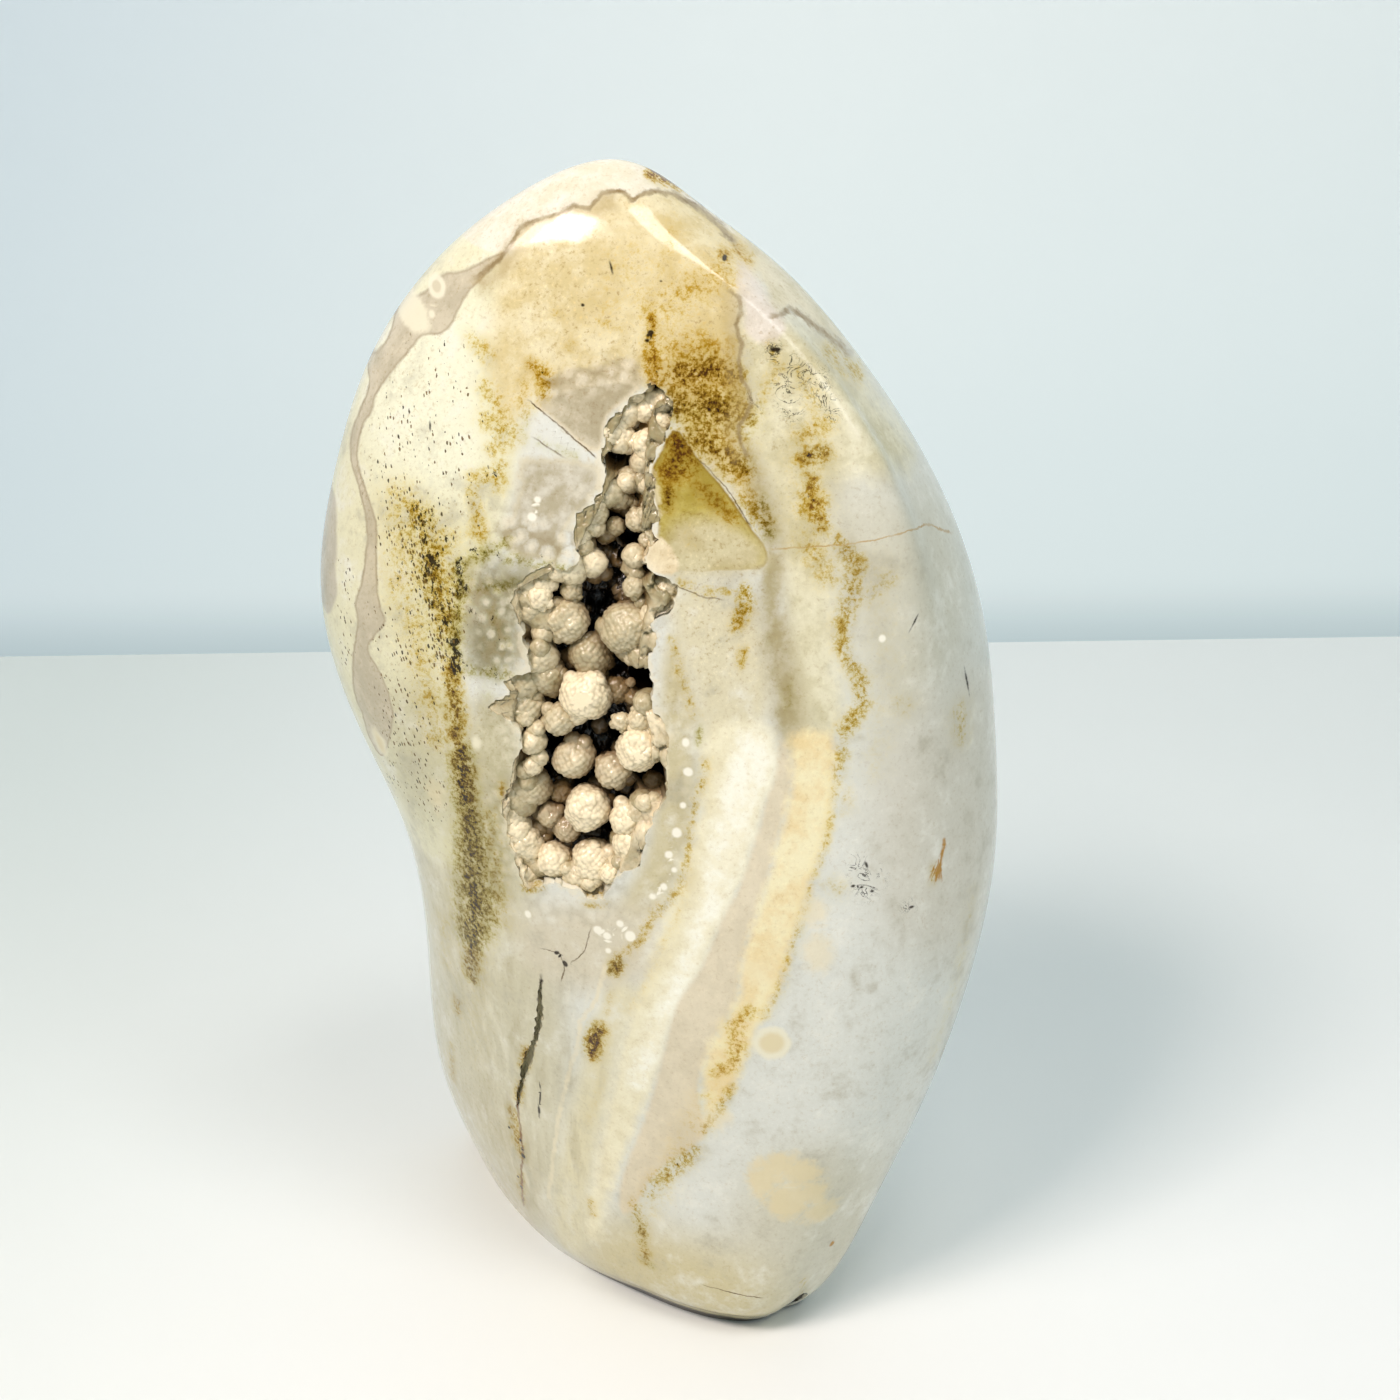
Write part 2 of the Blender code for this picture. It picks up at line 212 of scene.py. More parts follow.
# Painted shade: the table darkens to the left and towards the wall.
shade = mixed(tree, smooth_step(tree, across, -0.02, -0.14), shade, TABLE_LEFT_PAINTED_SHADE, "MULTIPLY")
shade = mixed(tree, smooth_step(tree, away, -0.08, 0.14), shade, TABLE_FAR_PAINTED_SHADE, "MULTIPLY")
tree.links.new(shade, shader.inputs["Base Color"])
shader.inputs["Roughness"].default_value = 0.5
bump = add(tree, "ShaderNodeBump", {"Height": brush_lines, "Strength": 0.1, "Distance": 0.0002})
tree.links.new(bump.outputs[0], shader.inputs["Normal"])
mesh = bpy.data.meshes.new("table")
corners = [(-TABLE_HALF, -TABLE_HALF), (TABLE_HALF, -TABLE_HALF), TABLE_EDGE_RIGHT, TABLE_EDGE_LEFT]
mesh.from_pydata([(x, y, 0.0) for x, y in corners], [], [(0, 1, 2, 3)])
link_object("table", mesh, table_finish)

wall_finish, tree, shader, place = new_material("wall paint and painted light")
across, _, height = add(tree, "ShaderNodeSeparateXYZ", {0: place}).outputs
# Painted shade: the wall turns darker below the table's edge.
above_low_wall_shade = smooth_step(tree, height, LOW_WALL_SHADE_FROM, LOW_WALL_SHADE_TO)
shade = mixed(tree, above_low_wall_shade, paint(*LOW_WALL_SHADE_COLOUR), paint(*WALL_COLOUR))
# Painted shade and light: the wall darkens to the left and higher up, and lightens to the right.
to_right = smooth_step(tree, maths(tree, "MULTIPLY_ADD", height, -0.5, across), -0.3, 0.0)
painted_side_light = mixed(tree, to_right, WALL_LEFT_PAINTED_SHADE, WALL_RIGHT_PAINTED_LIGHT)
shade = mixed(tree, 1.0, shade, painted_side_light, "MULTIPLY")
tree.links.new(shade, shader.inputs["Base Color"])
shader.inputs["Roughness"].default_value = 0.8
# Painted light: the wall glows faintly, more so low down.
glow = maths(tree, "MULTIPLY_ADD", smooth_step(tree, height, 0.15, -0.05), PAINTED_GLOW_MORE_LOW, PAINTED_GLOW_HIGH)
tree.links.new(glow, shader.inputs["Emission Strength"])
shader.inputs["Emission Color"].default_value = PAINTED_GLOW_COLOUR
mesh = bpy.data.meshes.new("wall")
low_ends = [(*end, WALL_FOOT) for end in (WALL_LEFT, WALL_RIGHT)]
high_ends = [(*end, WALL_HEIGHT) for end in (WALL_RIGHT, WALL_LEFT)]
mesh.from_pydata(low_ends + high_ends, [], [(0, 1, 2, 3)])
link_object("wall", mesh, wall_finish)


# Stone. One piece of agate, sawn flat at the foot, ground to a free shape and polished to a gloss. It
# has a natural cave in its front, one open crack below it and a chip at the foot. Its bands, plates
# and stains are colour inside the stone, so they run through it from front to back.
MM = 0.001
# One level section a row: its height, then x and y of its leftmost, front, rightmost and back
# points, then how full the corner is between each two of them, in the same order.
SECTIONS = np.array((
    (0.0, -27.2, 14.8, 7.0, -23.4, 18.3, -14.7, -3.2, 23.0, 0.62, 0.70, 0.72, 0.74),
    (3.0, -28.1, 14.2, 8.2, -25.4, 20.5, -15.2, -2.8, 24.6, 0.62, 0.71, 0.72, 0.74),
    (15.0, -30.6, 10.8, 10.8, -27.2, 27.0, -13.2, -1.2, 25.8, 0.64, 0.72, 0.72, 0.74),
    (30.0, -31.2, 7.8, 13.8, -27.7, 33.4, -10.2, 0.8, 26.8, 0.66, 0.73, 0.72, 0.73),
    (45.0, -30.9, 4.8, 14.8, -27.7, 37.9, -8.2, 2.8, 27.8, 0.69, 0.74, 0.72, 0.72),
    (60.0, -32.9, 3.8, 14.8, -26.7, 40.4, -6.2, 4.8, 27.8, 0.70, 0.74, 0.72, 0.72),
    (75.0, -38.2, 3.8, 15.8, -24.7, 39.9, -4.2, 2.8, 26.8, 0.71, 0.74, 0.72, 0.72),
    (90.0, -40.5, 2.8, 17.8, -21.7, 37.7, -2.2, 0.8, 25.3, 0.71, 0.74, 0.72, 0.72),
    (105.0, -37.7, 2.8, 18.8, -17.7, 31.8, -0.2, -1.2, 22.3, 0.71, 0.74, 0.72, 0.72),
    (118.0, -32.8, 3.8, 13.8, -12.7, 23.1, 1.8, -4.2, 18.3, 0.71, 0.74, 0.72, 0.72),
    (128.0, -25.6, 3.8, 5.0, -8.0, 13.8, 3.8, -5.2, 13.8, 0.71, 0.73, 0.72, 0.72),
    (135.0, -17.2, 3.8, -3.0, -3.6, 4.8, 3.8, -6.2, 9.8, 0.71, 0.72, 0.72, 0.72),
))
TOP = (-5.0, 3.3, 140.0)
FRONT_COLUMNS = 226
BACK_COLUMNS = 112
ROWS = 258

# The foot is undercut at the front left, where the saw cut ran out: the turns between which it is, its
# share of the full rise there, how high the edge rises, how far up the stone the rise fades, and how
# far in the stone touches the table.
LIFT_TURNS = (1.0, 1.5, 2.1, 2.65)
LIFT_SHARES = (0.0, 1.0, 0.9, 0.0)
LIFT = 1.8
LIFT_FADE = 6.0
UNDERCUT = 1.1

# The mouth of the cave on the polished face, as x and height, clockwise from its top.
MOUTH = np.array((
    (-0.5, 119), (0.5, 118.5), (2, 117), (1.5, 115), (1.5, 114.5), (0.5, 112.5), (0, 111.5), (-1, 110.5),
    (0, 109), (0, 106.5), (0.5, 105), (-0.5, 104.5), (0, 103), (-1.5, 100.5), (-0.5, 99.5), (2, 98.5),
    (2.5, 97), (1.5, 95.5), (-0.5, 94), (0, 92.5), (-0.5, 91), (-1, 90), (-0.5, 87), (-0.5, 85),
    (1, 82.5), (1.5, 80.5), (1, 78), (1, 75), (0, 73), (-1, 71), (-2, 66.5), (-4, 65),
    (-6.5, 61.5), (-7.5, 61), (-9, 62), (-11.5, 62.5), (-13, 62), (-15.5, 60.5), (-16, 61.5), (-16.5, 64),
    (-17, 67), (-18, 71), (-17.5, 72.5), (-16.5, 74.5), (-16.5, 76), (-15.5, 78.5), (-15.5, 81),
    (-17, 82), (-19, 83), (-18, 84), (-16.5, 85), (-17, 86.5), (-15.5, 87), (-14, 88), (-14.5, 90),
    (-15, 92.5), (-16, 95), (-16, 96.5), (-14.5, 98), (-12.5, 99.5), (-11.5, 99.5), (-10, 99),
    (-8.5, 100.5), (-9, 102), (-9, 103.5), (-8.5, 105), (-7, 106.5), (-6, 107.5), (-5.5, 109),
    (-6, 111.5), (-5.5, 112.5), (-6, 113.5), (-5.5, 114.5), (-4.5, 115.5), (-3.5, 116), (-3, 117.5),
    (-1.5, 118),
))
CAVE_MIDDLE = 86.0
# The cave from its mouth inwards: depth below the polished face, width and height against the mouth.
CAVE_LEVELS = np.array((
    (-6.0, 1.0, 1.0), (-0.3, 1.0, 1.0), (1.5, 1.0, 1.0), (4.0, 1.10, 1.03), (8.0, 1.05, 0.98),
    (11.0, 0.85, 0.86), (12.6, 0.5, 0.6),
))
CAVE_POINTS = 420
CAVE_DEPTHS = (-6.0, -0.3, 0.25, 0.8, 1.5, 2.5, 4.0, 6.0, 8.0, 9.6, 11.0, 12.6)
# How the mouth's edge is broken: the length of its waves, how far they reach, and their seed.
EDGE_BREAKS = (1.6, 0.14, 11)

# The open crack: x, height, width and depth down its length.
CRACK = np.array((
    (-14.0, 48.5, 0.15, 0.5), (-14.3, 45.4, 0.6, 1.3), (-14.4, 42.6, 0.8, 1.6), (-15.0, 39.5, 0.55, 1.4),
    (-15.9, 36.2, 1.0, 1.8), (-16.8, 33.0, 1.05, 1.8), (-17.3, 30.4, 0.6, 1.4), (-17.8, 28.0, 0.45, 1.0),
    (-18.1, 26.0, 0.15, 0.5),
))
CRACK_POINTS = 70
# The chip at the foot's front right corner.
CHIP_PLACE = (17.3, -22.3, 3.0)
CHIP_SIZE = (1.0, 1.4, 1.7)


def natural_spline(knots, values, at):
    """Values of the natural cubic spline through (knots, values) at the places in `at`.

    The bends at the knots solve the usual three-term system, with none at either end.
    """
    count = len(knots)
    step = np.diff(knots)
    across = (-1,) + (1,) * (values.ndim - 1)
    system = np.zeros((count, count))
    system[0, 0] = system[-1, -1] = 1.0
    inner = np.arange(1, count - 1)
    system[inner, inner - 1] = step[:-1]
    system[inner, inner] = 2 * (step[:-1] + step[1:])
    system[inner, inner + 1] = step[1:]
    slope = np.diff(values, axis=0) / step.reshape(across)
    right_side = np.zeros_like(values)
    right_side[1:-1] = 6 * (slope[1:] - slope[:-1])
    bend = np.linalg.solve(system, right_side.reshape(count, -1)).reshape(values.shape)
    left = np.clip(np.searchsorted(knots, at) - 1, 0, count - 2)
    before = (at - knots[left]).reshape(across)
    after = (knots[left + 1] - at).reshape(across)
    width = step[left].reshape(across)
    curved = (bend[left] * after**3 + bend[left + 1] * before**3) / (6 * width)
    start = (values[left] / width - bend[left] * width / 6) * after
    end = (values[left + 1] / width - bend[left + 1] * width / 6) * before
    return curved + start + end


def level_outlines(turns):
    """Each section's outline at the turns, where 0, 2, 4 and 6 are its left, front, right and back.

    A corner point lies between each two outermost points, pulled from the middle towards the box's
    corner by the fullness, and a closed cubic spline runs through all eight.
    """
    here = SECTIONS[:, 1:9].reshape(-1, 4, 2)
    following = np.roll(here, -1, axis=1)
    across_first = np.arange(4)[None, :, None] % 2 == 0
    hub_x = np.where(across_first, following[..., :1], here[..., :1])
    hub_y = np.where(across_first, here[..., 1:], following[..., 1:])
    hub = np.concatenate([hub_x, hub_y], axis=2)
    corner = hub + SECTIONS[:, 9:, None] * (here + following - 2 * hub)
    points = np.stack([here, corner], axis=2).reshape(-1, 8, 2).transpose(1, 0, 2)
    knots = np.arange(-8.0, 17.0)
    flat = natural_spline(knots, np.concatenate([points] * 3 + [points[:1]]), turns).transpose(1, 0, 2)
    heights = np.broadcast_to(SECTIONS[:, :1, None], (*flat.shape[:2], 1))
    return np.concatenate([flat, heights], axis=2)


def stone_skin(turns, rows):
    """Rows of points from the foot to the top.

    A spline runs up each column, on over the top and down the far side, and the points lie on its near
    part.
    """
    near = level_outlines(turns)
    far = level_outlines((turns + 4.0) % 8.0)[::-1][:3]
    top = np.broadcast_to(np.array(TOP), (1, len(turns), 3))
    columns = np.concatenate([near, top, far])
    lengths = np.linalg.norm(np.diff(columns, axis=0), axis=2).mean(axis=1)
    along = np.concatenate([[0.0], np.cumsum(lengths)])
    return natural_spline(along, columns, np.linspace(0.0, along[len(near)], rows))


def closed_loft(name, rings, pole=None):
    """A closed mesh of quads through rings of as many points each, with a fan at each end.

    The fans meet in the rings' middles, or in the foot's middle and the pole.
    """
    count, levels = rings.shape[1], rings.shape[0]
    ends = np.array([rings[0].mean(axis=0), rings[-1].mean(axis=0)])
    if pole is not None:
        ends[0, 2] = 0.0
        ends[1] = pole
    points = np.concatenate([rings.reshape(-1, 3), ends]) * MM
    around = np.arange(count)
    following = (around + 1) % count
    starts = np.arange(levels - 1)[:, None] * count
    near, far = starts + around, starts + following
    sides = np.stack([near, far, far + count, near + count], -1)
    first, last = levels * count, levels * count + 1
    top_row = (levels - 1) * count
    bottom = np.stack([following, around, np.full(count, first)], -1)
    top = np.stack([top_row + around, top_row + following, np.full(count, last)], -1)
    mesh = bpy.data.meshes.new(name)
    faces = sides.reshape(-1, 4).tolist() + bottom.tolist() + top.tolist()
    mesh.from_pydata(points.tolist(), [], faces)
    return mesh


def facing_out(mesh):
    """Turns the faces of a closed mesh outwards."""
    shape = bmesh.new()
    shape.from_mesh(mesh)
    bmesh.ops.recalc_face_normals(shape, faces=shape.faces)
    shape.to_mesh(mesh)
    shape.free()
    return mesh


front_turns = np.arange(FRONT_COLUMNS) * 4.0 / FRONT_COLUMNS
back_turns = 4.0 + np.arange(BACK_COLUMNS) * 4.0 / BACK_COLUMNS
all_turns = np.concatenate([front_turns, back_turns])
skin = stone_skin(all_turns, ROWS)

# How far forward the polished face lies, in a table by row and by quarter millimetres of x.
TABLE_STEP = 0.25
TABLE_X = np.arange(-42.0, 42.0, TABLE_STEP)
face_rows = []
for row in skin[:-1]:
    leftmost, rightmost = row[:, 0].argmin(), row[:, 0].argmax()
    order = np.arange(leftmost - len(row) if leftmost > rightmost else leftmost, rightmost + 1)
    face_rows.append(np.interp(TABLE_X, row[order, 0], row[order, 1]))
face_table = np.array(face_rows)
row_heights = skin[:-1, 0, 2]

lifted = np.interp(all_turns, LIFT_TURNS, LIFT_SHARES)
fade = np.clip(1.0 - skin[1:, :, 2] / LIFT_FADE, 0.0, 1.0) ** 2
skin[1:, :, 2] += LIFT * lifted * fade
foot_middle = skin[0, :, :2].mean(axis=0)
inwards = foot_middle - skin[0, :, :2]
inwards /= np.linalg.norm(inwards, axis=1, keepdims=True)
skin[0, :, :2] += UNDERCUT * lifted[:, None] * inwards


def face_y(x, height):
    """y of the polished face at x and a height, by straight lines between the table's entries."""
    row = np.interp(height, row_heights, np.arange(len(row_heights)))
    column = np.clip((x - TABLE_X[0]) / TABLE_STEP, 0, len(TABLE_X) - 1.001)
    low_row = np.minimum(row.astype(int), len(row_heights) - 2)
    low_column = column.astype(int)
    up, right = row - low_row, column - low_column
    below = face_table[low_row, low_column] * (1 - right) + face_table[low_row, low_column + 1] * right
    higher = low_row + 1
    above = face_table[higher, low_column] * (1 - right) + face_table[higher, low_column + 1] * right
    return below * (1 - up) + above * up


def waves(points, size, seed):
    """A smooth random field between about -1 and 1: sixteen plane waves near that length, added up."""
    dice = np.random.default_rng(seed)
    directions = dice.normal(size=(16, points.shape[-1]))
    directions /= np.linalg.norm(directions, axis=1, keepdims=True)
    rates = 2 * math.pi / (size * dice.uniform(0.6, 1.6, 16))
    phases = dice.uniform(0.0, 2 * math.pi, 16)
    return np.sin(points @ (directions * rates[:, None]).T + phases).sum(axis=-1) / 4.0


def resampled(path, count, closed):
    """`count` points at even steps along straight lines through the path."""
    if closed:
        path = np.concatenate([path, path[:1]])
    along = np.concatenate([[0.0], np.cumsum(np.linalg.norm(np.diff(path, axis=0), axis=1))])
    at = np.linspace(0.0, along[-1], count, endpoint=not closed)
    return np.stack([np.interp(at, along, path[:, i]) for i in range(path.shape[1])], axis=1)


def cave_middle(height):
    """x of the cave's middle line, which leans to the right as it rises."""
    return -8.5 + (height - 61.0) * 6.5 / 58.0


def jagged(outline, size, amount, seed):
    """The outline with each point moved by waves of two lengths, so that its edge looks broken."""
    shift = np.stack([waves(outline, size, seed), waves(outline, size, seed + 1)], axis=1)
    finer = np.stack([waves(outline, size * 0.35, seed + 2), waves(outline, size * 0.35, seed + 3)], axis=1)
    return outline + amount * (shift + 0.6 * finer)


mouth = jagged(resampled(MOUTH, CAVE_POINTS, True), *EDGE_BREAKS)
cave_rings = []
for depth in CAVE_DEPTHS:
    wide = np.interp(depth, CAVE_LEVELS[:, 0], CAVE_LEVELS[:, 1])
    high = np.interp(depth, CAVE_LEVELS[:, 0], CAVE_LEVELS[:, 2])
    ring_height = CAVE_MIDDLE + (mouth[:, 1] - CAVE_MIDDLE) * high
    ring_x = cave_middle(ring_height) + (mouth[:, 0] - cave_middle(mouth[:, 1])) * wide
    if depth > 0.0:
        ring = np.stack([ring_x, ring_height], axis=1)
        ring_x, ring_height = jagged(ring, 2.5, 0.12, 20 + int(10 * depth)).T
    cave_rings.append(np.stack([ring_x, face_y(ring_x, ring_height) + depth, ring_height], axis=1))

crack_rows = resampled(CRACK, CRACK_POINTS, False)
crack = jagged(crack_rows[:, :2], 1.2, 0.1, 40)
crack_width, crack_depth = crack_rows[:, 2:].T
crack_width = crack_width * (1.0 + 0.25 * waves(crack, 1.5, 43))
crack_y = face_y(*crack.T)
# Across the crack: share of its width, share of its depth, and how far out in front of the face.
CRACK_ACROSS = ((-0.5, 0.0, 0.8), (-0.45, 0.5, 0.0), (0.0, 1.0, 0.0), (0.45, 0.4, 0.0), (0.5, 0.0, 0.8))
crack_sides = [
    np.stack([crack[:, 0] + crack_width * wide, crack_y + crack_depth * deep - out, crack[:, 1]], axis=1)
    for wide, deep, out in CRACK_ACROSS
]
crack_rings = np.stack(crack_sides, axis=1)

turn = np.linspace(0.0, 2 * math.pi, 24, endpoint=False)
rise = np.linspace(-math.pi / 2, math.pi / 2, 13)[1:-1, None]
ball = [np.cos(rise) * np.cos(turn), np.cos(rise) * np.sin(turn), np.sin(rise) + 0 * turn]
ball = np.stack(ball, axis=-1)
rough = 1.0 + 0.12 * waves(ball, 0.8, 50)
chip = np.array(CHIP_PLACE) + ball * np.array(CHIP_SIZE) * rough[..., None]

stone = bpy.data.objects.new("stone_body", closed_loft("stone_body", skin[:-1], pole=skin[-1, 0]))
bpy.context.scene.collection.objects.link(stone)
for name, rings in (("cave", np.array(cave_rings)), ("crack", crack_rings), ("chip", chip)):
    cutter = bpy.data.objects.new(name, facing_out(closed_loft(name, rings)))
    bpy.context.scene.collection.objects.link(cutter)
    cut = stone.modifiers.new(name, "BOOLEAN")
    cut.operation = "DIFFERENCE"
    cut.solver = "MANIFOLD"
    cut.object = cutter
bpy.context.view_layer.update()
cut_mesh = bpy.data.meshes.new_from_object(stone.evaluated_get(bpy.context.evaluated_depsgraph_get()))
stone.modifiers.clear()
stone.data = cut_mesh
for name in ("cave", "crack", "chip"):
    bpy.data.objects.remove(bpy.data.objects[name])
cut_mesh.shade_smooth()
cut_mesh.set_sharp_from_angle(angle=math.radians(40))


# Markings of the stone. Each is an outline or a line on the polished face, as x and height. Behind
# the face they lean as the bands of the stone do, and wander more the deeper they lie.
LEAN_X = 0.5
LEAN_HEIGHT = -0.3
WANDER_MOST = 8.0
WANDER_RISE = 0.25
WANDER_LENGTH = 22.0
stone_points = np.empty(len(cut_mesh.vertices) * 3)
cut_mesh.vertices.foreach_get("co", stone_points)
stone_points = stone_points.reshape(-1, 3) / MM
behind = np.maximum(0.0, stone_points[:, 1] - face_y(stone_points[:, 0], stone_points[:, 2]))
wander = np.minimum(WANDER_MOST, WANDER_RISE * behind)
to_side, upwards = waves(stone_points, WANDER_LENGTH, 60), waves(stone_points, WANDER_LENGTH, 61)
band_x = stone_points[:, 0] + LEAN_X * behind + wander * to_side
band_height = stone_points[:, 2] + LEAN_HEIGHT * behind + wander * upwards


def rounded(path, closed):
    """The path with its corners cut twice, each time at a quarter and three quarters of each side."""
    for _ in range(2):
        following = np.roll(path, -1, axis=0) if closed else path[1:]
        here = path if closed else path[:-1]
        quarters = [0.75 * here + 0.25 * following, 0.25 * here + 0.75 * following]
        cut = np.stack(quarters, axis=1).reshape(-1, 2)
        path = cut if closed else np.concatenate([path[:1], cut, path[-1:]])
    return path


def nearest_side(x, height, path, closed):
    """For each point: its distance to the path, and which side of the nearest stretch it is on, in mm."""
    starts = path if closed else path[:-1]
    ends = np.roll(path, -1, axis=0) if closed else path[1:]
    nearest = np.full(x.shape, np.inf)
    beside = np.zeros(x.shape)
    for (x0, h0), (x1, h1) in zip(starts, ends):
        run, climb = x1 - x0, h1 - h0
        length = math.hypot(run, climb) + 1e-9
        along = np.clip(((x - x0) * run + (height - h0) * climb) / length**2, 0.0, 1.0)
        distance = np.hypot(x - x0 - along * run, height - h0 - along * climb)
        closer = distance < nearest
        nearest = np.where(closer, distance, nearest)
        beside = np.where(closer, ((height - h0) * run - (x - x0) * climb) / length, beside)
    return nearest, beside


FIELD_REACH = 5.0


def patch_field(outline):
    """Distance to a closed outline in millimetres, positive inside it and cut off past the reach."""
    path = rounded(np.array(outline, float), True)
    low, high = path.min(axis=0) - FIELD_REACH, path.max(axis=0) + FIELD_REACH
    field = np.full(band_x.shape, -FIELD_REACH)
    near = (band_x > low[0]) & (band_x < high[0]) & (band_height > low[1]) & (band_height < high[1])
    x, height = band_x[near], band_height[near]
    inside = np.zeros(x.shape, bool)
    for (x0, h0), (x1, h1) in zip(path, np.roll(path, -1, axis=0)):
        if h0 != h1:
            crosses = ((h0 > height) != (h1 > height)) & (x < (x1 - x0) * (height - h0) / (h1 - h0) + x0)
            inside ^= crosses
    distance = nearest_side(x, height, path, True)[0]
    field[near] = np.where(inside, distance, -np.minimum(distance, FIELD_REACH))
    return field


def line_field(paths, width):
    """Which side of the nearest line a point is on, in mm, and 1 beside the line but 0 past its ends."""
    nearest = np.full(band_x.shape, np.inf)
    beside = np.zeros(band_x.shape)
    for path in paths:
        distance, side = nearest_side(band_x, band_height, np.array(path, float), False)
        closer = distance < nearest
        nearest = np.where(closer, distance, nearest)
        beside = np.where(closer, side, beside)
    past_end = np.clip((nearest - np.abs(beside)) / 0.5, 0.0, 1.0)
    far = np.clip((nearest - 0.3 - width) / 0.5, 0.0, 1.0)
    return beside, (1.0 - past_end) * (1.0 - far)


def spot_field(spots):
    """Place in the nearest ellipse, 1 long at its rim, then its size, then the distance inside its rim.

    Each spot is x, height, half width, half height and turn.
    """
    best = np.full(band_x.shape, -np.inf)
    field = np.zeros((len(band_x), 4))
    for x, height, half_width, half_height, turn in spots:
        cos, sin = math.cos(math.radians(turn)), math.sin(math.radians(turn))
        across = ((band_x - x) * cos + (band_height - height) * sin) / half_width
        upward = ((band_height - height) * cos - (band_x - x) * sin) / half_height
        size = min(half_width, half_height)
        inside = (1.0 - np.hypot(across, upward)) * size
        closer = inside > best
        best = np.where(closer, inside, best)
        channels = np.stack([across, upward, np.full(across.shape, size), inside], axis=1)
        field[closer] = channels[closer]
    return field


def store(name, values, kind="FLOAT"):
    """Keeps one value a vertex on the stone, for its material to read."""
    layer = cut_mesh.attributes.new(name, kind, "POINT")
    layer.data.foreach_set("color" if kind == "FLOAT_COLOR" else "value", values.ravel())


# Soft ground tones, laid one over the other: outline, colour, and how far its edge fades.
GROUND_BASE = (220, 221, 212)
GROUND = (
    (((14, 112), (30, 108), (36, 98), (34, 86), (26, 80), (22, 92), (18, 104)), (207, 204, 186), 4.0),
    (((24, 84), (40, 88), (42, 66), (36, 50), (24, 60)), (211, 207, 192), 5.0),
    (((10, 30), (28, 30), (28, 0), (6, 0)), (208, 204, 184), 5.0),
    (((-10, 16), (14, 14), (16, -3), (-12, -3)), (207, 196, 156), 5.0),
    (((-38, 72), (-24, 70), (-14, 60), (-10, 40), (-14, 0), (-40, 0)), (206, 200, 172), 3.0),
    (((-34, 24), (-16, 22), (-14, -2), (-32, -2)), (202, 194, 164), 4.0),
    (((-40, 110), (-30, 122), (-22, 129), (-16.5, 131), (-15, 133.5), (-7, 136.5), (-6, 137.5),
      (0, 137.5), (5, 135.5), (9, 133), (14, 129), (24, 122), (24, 150), (-50, 150)), (236, 232, 212),
      0.6),
    (((-30, 130), (-15, 134), (-15, 112), (-16.5, 104), (-20, 97), (-22, 89), (-22, 76), (-22.5, 62),
      (-27, 58), (-37, 62), (-46, 84), (-46, 105)), (226, 222, 190), 1.2),
    (((-34, 121), (-18, 128), (-16, 112), (-21, 105), (-34, 107)), (235, 234, 208), 4.0),
    (((-33, 84), (-23, 84), (-22, 66), (-32, 66)), (203, 198, 166), 4.0),
    (((-22, 82), (-16, 80), (-15, 62), (-19, 56), (-23, 62)), (196, 190, 158), 2.0),
    (((1.5, 98), (9, 97), (12, 95), (13, 83), (6.5, 82), (5, 79.5), (4.5, 86), (1.5, 93.5)),
     (217, 209, 178), 1.6),
    (((0.5, 94), (3.5, 88), (4.5, 80), (4, 73), (2, 64), (-4, 54), (-7, 55), (-4, 62), (0, 70)),
     (203, 193, 156), 1.2),
    (((-15, 60), (3, 62), (0, 52), (-8, 48), (-18, 50)), (213, 205, 182), 3.0),
    (((-6.5, 50), (-2, 51), (-4.5, 42.5), (-9, 17), (-10, 2), (-14.5, 2), (-14, 13.5), (-11, 30)),
     (222, 214, 180), 1.4),
    (((14, 104), (18, 103), (18, 84), (16, 80), (13.5, 84), (14.5, 96)), (213, 207, 178), 1.4),
)
ground = np.tile(np.array(paint(*GROUND_BASE)), (len(band_x), 1))
for outline, colour, fade in GROUND:
    cover = np.clip(patch_field(outline) / (2 * fade) + 0.5, 0.0, 1.0)
    cover = (cover * cover * (3 - 2 * cover))[:, None]
    ground = ground * (1 - cover) + np.array(paint(*colour)) * cover
store("ground", ground, "FLOAT_COLOR")

